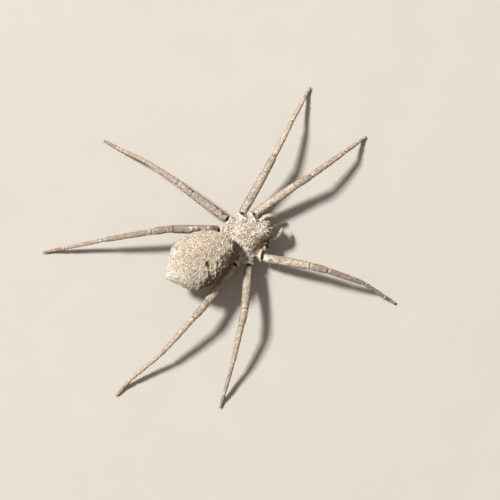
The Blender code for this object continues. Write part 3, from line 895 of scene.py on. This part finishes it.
bump = add_node(
    tree, "ShaderNodeBump", {"Strength": 0.35, "Distance": 0.02 * MM}, {"Height": mottling.outputs["Fac"]},
)
tree.links.new(bump.outputs["Normal"], shader.inputs["Normal"])
rims.data.materials.append(bare_shell)

# Chelicerae. The two jaws hang upright under the front of the head: blocks of brown horn that narrow
# downwards, each with a curved fang folded in at its lower end.
CHELICERA_PLACE = (2.24, 0.395)
CHELICERA_NARROWER = 0.90
# Down the jaw: backwards, height, radius and tilt of each section
CHELICERA_SECTIONS = (
    (0.10, 2.24, 0.30, 0.10), (0.02, 2.02, 0.41, 0.05), (-0.06, 1.74, 0.44, 0.0), (-0.06, 1.46, 0.42, 0.0),
    (-0.01, 1.21, 0.36, -0.10), (0.05, 1.03, 0.28, -0.20), (0.08, 0.95, 0.14, -0.20),
)
# The fang in the same way, how far it stands from the jaw's middle line, and its turn inwards
FANG_SECTIONS = (
    (0.00, 1.12, 0.115, 0.0), (-0.02, 0.98, 0.11, 0.15), (-0.01, 0.87, 0.095, 0.5),
    (0.05, 0.785, 0.075, 0.9), (0.13, 0.735, 0.052, 1.2), (0.21, 0.725, 0.028, 1.4),
    (0.27, 0.73, 0.008, 1.5),
)
FANG_PLACE = (0.12, -0.04, 0.0)
FANG_TURN = math.radians(62)


def drawn_bar(sections, sides):
    """A closed bar: a disc pushed from section to section, each y, z, radius and tilt about X in radians."""
    y, z, radius, tilt = sections[0]
    bpy.ops.object.select_all(action="DESELECT")
    bpy.ops.mesh.primitive_circle_add(vertices=sides, radius=radius, fill_type="NGON", location=(0, y, z))
    bpy.ops.object.transform_apply()
    bpy.ops.object.mode_set(mode="EDIT")
    bpy.ops.mesh.select_all(action="SELECT")
    for next_y, next_z, next_radius, next_tilt in sections[1:]:
        bpy.ops.mesh.extrude_region_move(TRANSFORM_OT_translate={"value": (0, next_y - y, next_z - z)})
        size = next_radius / radius
        middle = (0, next_y, next_z)
        bpy.ops.transform.resize(value=(size, size, size), center_override=middle)
        bpy.ops.transform.rotate(value=tilt - next_tilt, orient_axis="X", center_override=middle)
        y, z, radius, tilt = next_y, next_z, next_radius, next_tilt
    bpy.ops.mesh.select_all(action="SELECT")
    bpy.ops.mesh.normals_make_consistent(inside=False)
    bpy.ops.object.mode_set(mode="OBJECT")
    bar = bpy.context.object
    shell = bmesh.new()
    shell.from_mesh(bar.data)
    if shell.calc_volume(signed=True) < 0:
        bar.data.flip_normals()
    shell.free()
    return bar


def rounded(piece, levels):
    """Smooths a piece with an applied subdivision surface."""
    modify(piece, "rounding", "SUBSURF", levels=levels, render_levels=levels)
    bpy.ops.object.shade_smooth()


jaw_shape = drawn_bar(CHELICERA_SECTIONS, 14)
jaw_shape.data.transform(Matrix.Diagonal((CHELICERA_NARROWER, 1, 1, 1)))
rounded(jaw_shape, 2)
fang_shape = drawn_bar(FANG_SECTIONS, 10)
rounded(fang_shape, 1)
jaws = []
for side, sign in (("left", 1), ("right", -1)):
    put = Matrix.Scale(MM, 4) @ Matrix.Translation(at(CHELICERA_PLACE[0], sign * CHELICERA_PLACE[1], 0.0))
    jaw = placed_copy(jaw_shape, f"jaw_{side}", put)
    put = put @ Matrix.Translation(Vector(FANG_PLACE) * Vector((sign, 1, 1)))
    fang = placed_copy(fang_shape, f"fang_{side}", put @ Matrix.Rotation(sign * FANG_TURN, 4, "Z"))
    jaws.append(jaw)
    jaw.data.materials.append(bare_shell)
    fang.data.materials.append(cornea)
    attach(jaw, "root")
    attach(fang, "root")
    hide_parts(f"chelicera_{side}")
bpy.data.objects.remove(jaw_shape, do_unlink=True)
bpy.data.objects.remove(fang_shape, do_unlink=True)

# Claws. Each foot ends in a pair of thin curved claws of dark horn that reach the floor, and each palp ends
# in one. They are drawn as bars and rooted in the flesh of the foot.
CLAW_SECTIONS = (
    (0.00, 0.00, 0.040, 0.0), (0.00, 0.08, 0.036, 0.15), (0.015, 0.15, 0.030, 0.4),
    (0.045, 0.21, 0.023, 0.7), (0.09, 0.25, 0.015, 1.0), (0.135, 0.27, 0.005, 1.2),
)
CLAW_HEIGHT = 0.20
CLAW_ROOTED = 0.08
CLAW_SPREAD = 0.28
CLAW_ASIDE = 0.06
PALP_TIP = (3.74, 0.60, 1.25)
PALP_CLAW_WAY = (-0.55, -0.55, -0.63)
claw_shape = drawn_bar(CLAW_SECTIONS, 8)
rounded(claw_shape, 1)
claws = []


def add_claw(root, across, back, heading):
    """Adds a claw that is rooted here, its X, Y and Z laid along these three ways."""
    put = Matrix.Translation(root) @ Matrix((across, back, heading)).transposed().to_4x4()
    claws.append(placed_copy(claw_shape, "claw", Matrix.Scale(MM, 4) @ put))


for line in leg_lines.values():
    way = line[5] - line[4]
    way = Vector((way[0], way[1], 0)).normalized()
    for spread in (-CLAW_SPREAD, CLAW_SPREAD):
        heading = Matrix.Rotation(spread, 3, "Z") @ way
        root = Vector(line[5]) - way * CLAW_ROOTED
        root.z = CLAW_HEIGHT
        root += Vector((-way.y, way.x, 0)) * math.copysign(CLAW_ASIDE, spread)
        add_claw(root, heading.cross(Vector((0, 0, 1))), Vector((0, 0, -1)), heading)
for sign in (1, -1):
    heading = (Vector(PALP_CLAW_WAY) * Vector((sign, 1, 1))).normalized()
    across = Vector((0, 0, 1)).cross(heading).normalized()
    root = at(PALP_TIP[0], sign * PALP_TIP[1], PALP_TIP[2]) - heading * CLAW_ROOTED
    add_claw(root, across, heading.cross(across), heading)
bpy.data.objects.remove(claw_shape, do_unlink=True)
claws = joined(claws, "claws")
claws.data.materials.append(cornea)
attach(claws, "root")

# The coat. Bristles with split ends hold dry silt and grains of soil, so the animal looks made of earth.
# It is solid mesh in two kinds: grains half sunk in the skin, and flat tapered locks of bristles that lie
# along the body. Locks stand out a little on the flanks and edges, and are smallest on the face and feet.
# Each kind's triangles, the place of its points in its bake patch, and the shade of a lock there, darker at
# the root as painted shade and paler at the tip:
LOCK_TRIANGLES = np.array([
    (0, 2, 1), (0, 1, 4), (0, 4, 3), (1, 2, 5), (1, 5, 4),
    (2, 0, 3), (2, 3, 5), (3, 4, 6), (4, 5, 6), (5, 3, 6),
])
LOCK_PATCH = np.array([(0, 0), (1, 0), (0.5, 0.15), (0.1, 0.55), (0.9, 0.5), (0.45, 0.68), (0.5, 1)])
LOCK_PAINTED_SHADE = np.array([0.55, 0.55, 0.65, 0.92, 0.92, 1.05, 1.2])
GRAIN_TRIANGLES = np.array([
    (0, 2, 4), (2, 1, 4), (1, 3, 4), (3, 0, 4), (2, 0, 5), (1, 2, 5), (3, 1, 5), (0, 3, 5),
])
GRAIN_PATCH = np.array([(0.9, 0.1), (0.1, 0.95), (0.95, 0.9), (0, 0), (0.5, 0.55), (0.6, 0.4)])
PATCH_SIZE = 0.003
# How deep a lock is rooted, and how unlike each other locks are in length, width and rise
LOCK_ROOTED = 0.03
LOCK_LENGTHS = (0.65, 1.35)
LOCK_WIDTHS = (0.7, 1.25)
LOCK_RISES = (0.4, 1.7)
# How flat a grain is pressed, how unlike its corners are, the share of dark and of pale grains with their
# shade, the spread of shade of them all, how grey the greyest are, and the lowest that any of it may reach
GRAIN_FLATTENED = 0.45
GRAIN_CORNERS = (0.65, 1.25)
DARK_GRAINS = (0.11, 0.45)
PALE_GRAINS = (0.14, 1.35)
GRAIN_SPREAD = 0.25
GRAIN_GREYED = 0.3
LOWEST = 0.004

# The way that locks lie: to the rear on the abdomen, outwards on the carapace, forwards on palps and face
lie[on_abdomen] = (0.0, 1.0, -0.25)
lie[on_spinnerets] = (0.0, 0.5, -0.85)
outwards = np.stack([left * 0.5, -(ahead - 0.2) * 0.35 - 0.5, np.zeros(count)], 1)
lie[on_carapace] = outwards[on_carapace]
lie[on_palp | (on_carapace & (ahead > 2.0))] = (0.0, -1.0, -0.2)

# How thickly each place is covered: thin at joints, hips, the stump, dents, gaps, bald spots and underside
cover = 1 - 0.85 * bell(near_joint, 0.10) * on_leg
for bare, share in (
    (1.3 * collar, 0.95),
    (1.4 * hip_slot, 0.95),
    (stump, 0.8),
    (bald_and_shade, 0.75),
    (1.5 * dent, 0.95),
    (gaps, 0.6),
    (under_groove, 0.8),
    (below * (out_of_plate < 0), 0.5),
    (lungs, 0.6),
):
    cover *= 1 - share * np.clip(bare, 0, 1)
EYE_CLEARANCE = 1.45
for place, radius in eye_places:
    cover *= np.linalg.norm(skin_points - np.array(place), axis=1) > EYE_CLEARANCE * radius
size_here = 1 - 0.12 * on_carapace * ramp(ahead, 1.7, 2.1) - 0.45 * (on_palp | on_spinnerets)
size_here -= 0.40 * (segment_of == 4) + 0.22 * (segment_of == 3)

# The unwrap of the skin's own shape that the coat's bake patches follow: a strip for each part, the way
# along it and the turn round it
strip = np.where(on_leg, leg_of + 1, 0)
strip_along = np.where(on_abdomen, 0.5 + 0.5 * along_abdomen, (ahead + 3.5) / 8)
strip_along = np.where(on_leg, way_out / 21, strip_along)
strip_round = np.where(on_abdomen, abdomen_turn, np.arctan2(left, up - 2.0))
strip_round = (np.where(on_leg, turn, strip_round) / (2 * np.pi)) % 1.0
rng = np.random.default_rng(11)


def laid(roots, way):
    """Lays the locks of these roots this way along the skin."""
    way = np.broadcast_to(np.array(way), roots["out"].shape)
    lying = way - roots["out"] * (roots["out"] * way).sum(1)[:, None]
    roots["lie"] = lying / (np.linalg.norm(lying, axis=1)[:, None] + 1e-9)
    return roots


def ground(piece, **fields):
    """What the coat needs to know of the surface that it grows on, one row for each point or triangle."""
    piece.data.calc_loop_triangles()
    corners = rows_of(piece.data.loop_triangles, "vertices")
    edges_out = fields["place"][corners[:, 1:]] - fields["place"][corners[:, :1]]
    area = 0.5 * np.linalg.norm(np.cross(edges_out[:, 0], edges_out[:, 1]), axis=1)
    return laid({"corners": corners, "area": area, **fields}, fields["lie"])


def scatter(base, chosen, per_square):
    """Random roots on the chosen part of a ground, so many for each square millimetre."""
    corners = base["corners"]
    weight = base["area"] * base["cover"][corners].mean(1) * chosen[corners[:, 0]]
    picked = rng.choice(len(corners), int(weight.sum() * per_square), p=weight / weight.sum())
    share = rng.random((len(picked), 2))
    share[share.sum(1) > 1] = 1 - share[share.sum(1) > 1]
    share = np.stack([1 - share.sum(1), share[:, 0], share[:, 1]], 1)
    trio = corners[picked]
    roots = {}
    for name in ("place", "out", "lie", "colour", "size"):
        rows = base[name][trio]
        roots[name] = (rows * share.reshape(share.shape + (1,) * (rows.ndim - 2))).sum(1)
    roots["out"] = unit(roots["out"])
    for name in ("map", "strip"):
        roots[name] = base[name][trio[:, 0]]
    return laid(roots, roots["lie"])


def tint(roots, name, low, high):
    """Moves each root's colour towards one of the colours, by a random share."""
    roots["colour"] = blend_in(roots["colour"], COLOURS[name], rng.uniform(low, high, len(roots["colour"])))


def locks(roots, length, width, rise, stray, unlike=0.10):
    """Flat tapered locks of bristles: their roots, points, triangles, colours and patches."""
    n = len(roots["place"])
    root, out = roots["place"], roots["out"]
    swing = rng.normal(0, stray, n)[:, None]
    forward = roots["lie"] * np.cos(swing) + np.cross(out, roots["lie"]) * np.sin(swing)
    across = np.cross(out, forward)
    size = roots["size"][:, None]
    long = length * size * rng.uniform(*LOCK_LENGTHS, (n, 1))
    wide = width * size * rng.uniform(*LOCK_WIDTHS, (n, 1))
    lift = rise * rng.uniform(*LOCK_RISES, (n, 1))
    middle = root + long * 0.55 * (forward * np.cos(lift) + out * np.sin(lift))
    points = np.stack([
        root - across * wide * 0.5 - out * LOCK_ROOTED,
        root + across * wide * 0.5 - out * LOCK_ROOTED,
        root + out * wide * 0.35 - forward * wide * 0.3,
        middle - across * wide * 0.42,
        middle + across * wide * 0.42,
        middle + out * wide * 0.30,
        root + long * (forward * np.cos(0.8 * lift) + out * np.sin(0.8 * lift)),
    ], 1)
    shade = rng.normal(1.0, unlike, (n, 1, 1)) * LOCK_PAINTED_SHADE[None, :, None]
    return roots, points, LOCK_TRIANGLES, roots["colour"][:, None, :] * shade, LOCK_PATCH


def grains_of_soil(roots, small, large, sunk=0.25, unlike=1.0):
    """Angular grains half sunk in the skin: their roots, points, triangles, colours and patches."""
    n = len(roots["place"])
    basis = np.linalg.qr(rng.normal(size=(n, 3, 3)))[0]
    basis[np.linalg.det(basis) < 0, :, 2] *= -1
    size = (small + (large - small) * rng.random((n, 1)) ** 3.0) * roots["size"][:, None]
    arms = np.stack([way * basis[:, :, axis] for axis in range(3) for way in (1, -1)], 1)
    arms = arms * size[:, :, None] * rng.uniform(*GRAIN_CORNERS, (n, 6, 1))
    out = roots["out"][:, None, :]
    arms = arms - GRAIN_FLATTENED * out * (arms * out).sum(2)[:, :, None]
    points = (roots["place"] + roots["out"] * size * sunk)[:, None, :] + arms
    kind = rng.random(n)
    shade = rng.normal(1.0, GRAIN_SPREAD, n)
    shade[kind < DARK_GRAINS[0]] *= DARK_GRAINS[1]
    shade[kind > 1 - PALE_GRAINS[0]] *= PALE_GRAINS[1]
    colour = roots["colour"] * (1 + unlike * (shade - 1))[:, None]
    grey = colour.mean(1, keepdims=True)
    colour = colour + (grey - colour) * (rng.random((n, 1)) * GRAIN_GREYED)
    return roots, points, GRAIN_TRIANGLES, np.repeat(colour[:, None, :], 6, 1), GRAIN_PATCH


# Silt and bristles: dead matt, each grain and lock of its own shade, with a faint mottle along it
COAT_MOTTLE = 0.05
DEAD_MATT = {"Roughness": 0.96, "Specular IOR Level": 0.10}
coat_finish, tree, shader, place = new_finish("silt_on_bristles", DEAD_MATT)
show_marking(tree, shader, mottle(tree, place, COAT_MOTTLE, 2.0, (0.85, 1.10))[1])


def coat_piece(name, slot, *layers):
    """One piece of the coat, joined from layers of like shapes."""
    points, triangles, colours, maps = [], [], [], []
    total = 0
    strips = sorted(set(np.concatenate([layer[0]["strip"] for layer in layers]).tolist()))
    for roots, shape, faces, colour, patch in layers:
        n, k = shape.shape[:2]
        points.append(shape.reshape(-1, 3))
        triangles.append((faces[None] + (np.arange(n) * k)[:, None, None] + total).reshape(-1, 3))
        colours.append(colour.reshape(-1, 3))
        row = np.searchsorted(strips, roots["strip"])
        here = np.stack([roots["map"][:, 0], (row + roots["map"][:, 1]) / len(strips)], 1)
        here = 0.01 + 0.97 * np.clip(here, 0, 1)
        maps.append((here[:, None, :] + patch[None] * PATCH_SIZE).reshape(-1, 2))
        total += n * k
    points = np.concatenate(points)
    points[:, 2] = np.maximum(points[:, 2], LOWEST)
    triangles = np.concatenate(triangles)
    mesh = bpy.data.meshes.new(name)
    mesh.vertices.add(len(points))
    mesh.vertices.foreach_set("co", (points * MM).astype(np.float32).ravel())
    mesh.loops.add(triangles.size)
    mesh.loops.foreach_set("vertex_index", triangles.astype(np.int32).ravel())
    mesh.polygons.add(len(triangles))
    mesh.polygons.foreach_set("loop_start", np.arange(0, triangles.size, 3, dtype=np.int32))
    mesh.update(calc_edges=True)
    keep_marking(mesh, np.clip(np.concatenate(colours), 0.004, 0.95))
    bake = mesh.uv_layers.new(name="OFBake")
    bake.data.foreach_set("uv", np.concatenate(maps)[triangles.ravel()].astype(np.float32).ravel())
    mesh.materials.append(coat_finish)
    piece = bpy.data.objects.new(name, mesh)
    bpy.context.scene.collection.objects.link(piece)
    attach(piece, "root")


on_skin = ground(
    skin, place=skin_points, out=skin_normals, lie=lie, colour=marking, size=size_here, cover=cover,
    strip=strip, map=np.stack([strip_along, strip_round], 1),
)

# Abdomen: a crust of grains and silt, and short bristles all over. After the chosen places comes the
# number to each square millimetre, and then come the sizes in millimetres
soil = scatter(on_skin, on_abdomen & (crust > 0.35), 115)
coat_piece("coat_abdomen_soil", "abdomen_soil", grains_of_soil(soil, 0.035, 0.10))
silt = scatter(on_skin, on_abdomen | on_spinnerets, 120)
coat_piece("coat_abdomen_silt", "abdomen_soil", grains_of_soil(silt, 0.015, 0.045))
short = scatter(on_skin, on_abdomen | on_spinnerets, 105)
coat_piece("coat_abdomen_bristles", "abdomen_soil", locks(short, 0.23, 0.030, 0.24, 0.35, 0.22))

# Pale tufts: along the crust's rim, in streaks on the front of the back, on the bare band and the flanks
DOWN_FLANK = (-0.80, 0.45, -0.55)
ALONG_BACK = (-0.85, 0.45, 0.0)
tufted = on_abdomen & (noise_at(skin_points, 0.9, 11.0) > -0.12)
crust_rim = tufted & (past_edge < 1.0) & (past_edge > -0.55) & (ahead > -8.0) & (up > 3.2)
streaks = tufted & (ahead > -4.3) & (up > 4.0) & (left > -1.0) & (left < 2.2)
bare_band = on_abdomen & (crust < 0.5) & (up > 2.8) & (left < 0.5)
rim = laid(scatter(on_skin, crust_rim, 60), DOWN_FLANK)
front = laid(scatter(on_skin, streaks, 26), ALONG_BACK)
band = laid(scatter(on_skin, bare_band, 45), DOWN_FLANK)
flanks = scatter(on_skin, on_abdomen & (flank > 0.35), 36)
for pale in (rim, front):
    tint(pale, "chalk", -0.4, 0.9)
coat_piece(
    "coat_abdomen_tufts", "abdomen_soil",
    locks(flanks, 0.30, 0.028, 0.38, 0.40, 0.15),
    locks(rim, 0.40, 0.046, 0.20, 0.32, 0.22),
    locks(front, 0.36, 0.045, 0.16, 0.35, 0.20),
    locks(band, 0.34, 0.034, 0.18, 0.25, 0.25),
)

# Carapace, hips and palps: coarser grains with short bristles between, longer ones and clumps on the brow
on_body = on_carapace | on_palp
soil = scatter(on_skin, on_body, 140)
big = scatter(on_skin, on_carapace & (up > 2.0), 9)
silt = scatter(on_skin, on_body, 80)
coat_piece(
    "coat_carapace_soil", "carapace_soil",
    grains_of_soil(soil, 0.03, 0.10),
    grains_of_soil(big, 0.08, 0.14, sunk=0.1),
    grains_of_soil(silt, 0.015, 0.04),
)
short = scatter(on_skin, on_body, 95)
brow = scatter(on_skin, on_carapace & (ahead > 2.15) & (up > 2.2), 45)
clumps = scatter(on_skin, on_carapace & (ahead > 1.85) & (ahead < 2.55) & (up > 2.7), 20)
# The brow's bristles turn brown, partly as painted shade on the head's front
tint(brow, "side_brown_and_shade", -0.4, 1.0)
tint(clumps, "chalk", -0.3, 0.9)
coat_piece(
    "coat_carapace_bristles", "carapace_soil",
    locks(short, 0.21, 0.032, 0.35, 0.7, 0.28),
    locks(brow, 0.34, 0.040, 0.60, 0.5, 0.20),
    locks(clumps, 0.42, 0.085, 0.40, 0.5, 0.20),
)

# Legs: fine grains under short flat bristles that run to the feet, and a few pale spines under the segments
for name, group, slot in (
    ("coat_legs_left_front", (("left", 1), ("left", 2)), "leg_soil"),
    ("coat_legs_left_rear", (("left", 3), ("left", 4)), "leg_soil"),
    ("coat_legs_right_front", (("right", 2), ("right", 3)), "leg_soil"),
    ("coat_legs_right_rear", (("right", 4),), "leg_soil"),
    ("coat_feet", tuple(LEGS), "leg_tip_hair"),
):
    feet = name == "coat_feet"
    mine = np.isin(leg_of, [LEGS.index(leg) for leg in group]) & ((segment_of > 2) == feet)
    soil = scatter(on_skin, mine, 45 if feet else 65)
    hair = scatter(on_skin, mine, 155 if feet else 150)
    spined = scatter(on_skin, mine & (np.abs(turn) > 1.3) & (np.abs(turn) < 2.4), 0.5 if feet else 1.1)
    spined["colour"] = blend_in(spined["colour"], COLOURS["chalk"], np.full(len(spined["colour"]), 0.9))
    coat_piece(
        name, slot,
        grains_of_soil(soil, 0.02, 0.06, unlike=0.6),
        locks(hair, 0.27, 0.030, 0.10 if feet else 0.17, 0.16, 0.12 if feet else 0.17),
        locks(spined, 0.48, 0.06, 0.85, 0.30),
    )

# Jaws: sparse brown bristles that lie downwards, with silt between, thinner towards the fang
JAW_BRISTLE = "#9c8468"
for jaw in jaws:
    jaw_points = rows_of(jaw.data.vertices) / MM
    rows = len(jaw_points)
    height = (jaw_points[:, 2] - jaw_points[:, 2].min()) / np.ptp(jaw_points[:, 2])
    around = np.arctan2(*(jaw_points - jaw_points.mean(0))[:, :2].T)
    on_jaw = ground(
        jaw, place=jaw_points, out=rows_of(jaw.data.vertex_normals, "vector"),
        lie=np.tile((0.0, -0.15, -1.0), (rows, 1)), colour=np.tile(linear(JAW_BRISTLE), (rows, 1)),
        size=np.full(rows, 0.8), cover=0.35 + 0.65 * ramp(height, 0.3, 0.9),
        strip=np.zeros(rows, int), map=np.stack([height, around / (2 * np.pi) % 1.0], 1),
    )
    soil = scatter(on_jaw, np.ones(rows, bool), 60)
    hair = scatter(on_jaw, np.ones(rows, bool), 75)
    coat_piece(
        "coat_" + jaw.name, "mouthpart_brown",
        grains_of_soil(soil, 0.015, 0.06), locks(hair, 0.26, 0.028, 0.35, 0.3, 0.2),
    )

# Camera. It looks straight down from high above, as the photo does, turned so that the head points to the
# right and a little up, and it shows the same width of ground.
MIDDLE_AHEAD = -0.627
MIDDLE_LEFT = -1.345
VIEW_WIDTH = 500 / 9.1
CAMERA_HEIGHT = 400.0
BODY_LEVEL = 3.0
camera_data = bpy.data.cameras.new("camera")
camera = bpy.data.objects.new("camera", camera_data)
bpy.context.scene.collection.objects.link(camera)
bpy.context.scene.camera = camera
up_way = Vector((0.9063, -0.4226, 0.0))
right_way = Vector((-0.4226, -0.9063, 0.0))
camera_place = at(MIDDLE_AHEAD, MIDDLE_LEFT, BODY_LEVEL + CAMERA_HEIGHT) * MM
camera_turn = Matrix((right_way, up_way, (0.0, 0.0, 1.0))).transposed().to_4x4()
camera.matrix_world = Matrix.Translation(camera_place) @ camera_turn
camera_data.sensor_width = 36.0
camera_data.lens = camera_data.sensor_width * CAMERA_HEIGHT / VIEW_WIDTH
camera_data.clip_start = 0.01
camera_data.clip_end = 10.0

# Floor. A sheet of pale matt card that the model rests on. It takes the model's shadow, and its fibres give
# it a mottle too faint to read as anything.
CARD_MOTTLE = 6.0
bpy.ops.object.select_all(action="DESELECT")
bpy.ops.mesh.primitive_plane_add(size=4.0, location=(0, 0, 0))
floor = bpy.context.object
floor.name = "floor"
# Pale matt card: an even warm grey without gloss
card, tree, shader, place = new_finish("pale_matt_card", {"Roughness": 0.9})
fibres = add_node(
    tree, "ShaderNodeTexNoise", {"Scale": 1 / (CARD_MOTTLE * MM), "Detail": 2.0}, {"Vector": place},
)
card_colour = add_node(
    tree, "ShaderNodeMix",
    {"data_type": "RGBA", 6: (*linear("#bfbab2"), 1.0), 7: (*linear("#c6c1b9"), 1.0)},
    {"Factor": fibres.outputs["Fac"]},
)
tree.links.new(card_colour.outputs[2], shader.inputs["Base Color"])
floor.data.materials.append(card)

# Light. A lamp from the upper left of the view, white as late morning sun and small enough for crisp
# shadows, and a weak warm fill from all round, as bright ground gives it back.
KEY_DISTANCE = 1.6
KEY_HEIGHT = math.radians(46)
KEY_WAY = Vector((0.87, 0.50, 0)).normalized()
FILL_COLOUR = (1.0, 0.925, 0.83, 1.0)
FILL_STRENGTH = 0.28
key_data = bpy.data.lights.new("key_light", "AREA")
key_data.energy = 42
key_data.size = 0.22
key_data.color = (1.0, 0.990, 0.968)
key = bpy.data.objects.new("key_light", key_data)
bpy.context.scene.collection.objects.link(key)
key.location = (KEY_WAY * math.cos(KEY_HEIGHT) + Vector((0, 0, math.sin(KEY_HEIGHT)))) * KEY_DISTANCE
key.rotation_euler = Vector(key.location).to_track_quat("Z", "Y").to_euler()
world = bpy.data.worlds.new("studio")
bpy.context.scene.world = world
world.use_nodes = True
fill = world.node_tree.nodes["Background"]
fill.inputs["Color"].default_value = FILL_COLOUR
fill.inputs["Strength"].default_value = FILL_STRENGTH
bpy.context.scene.view_settings.view_transform = "Standard"
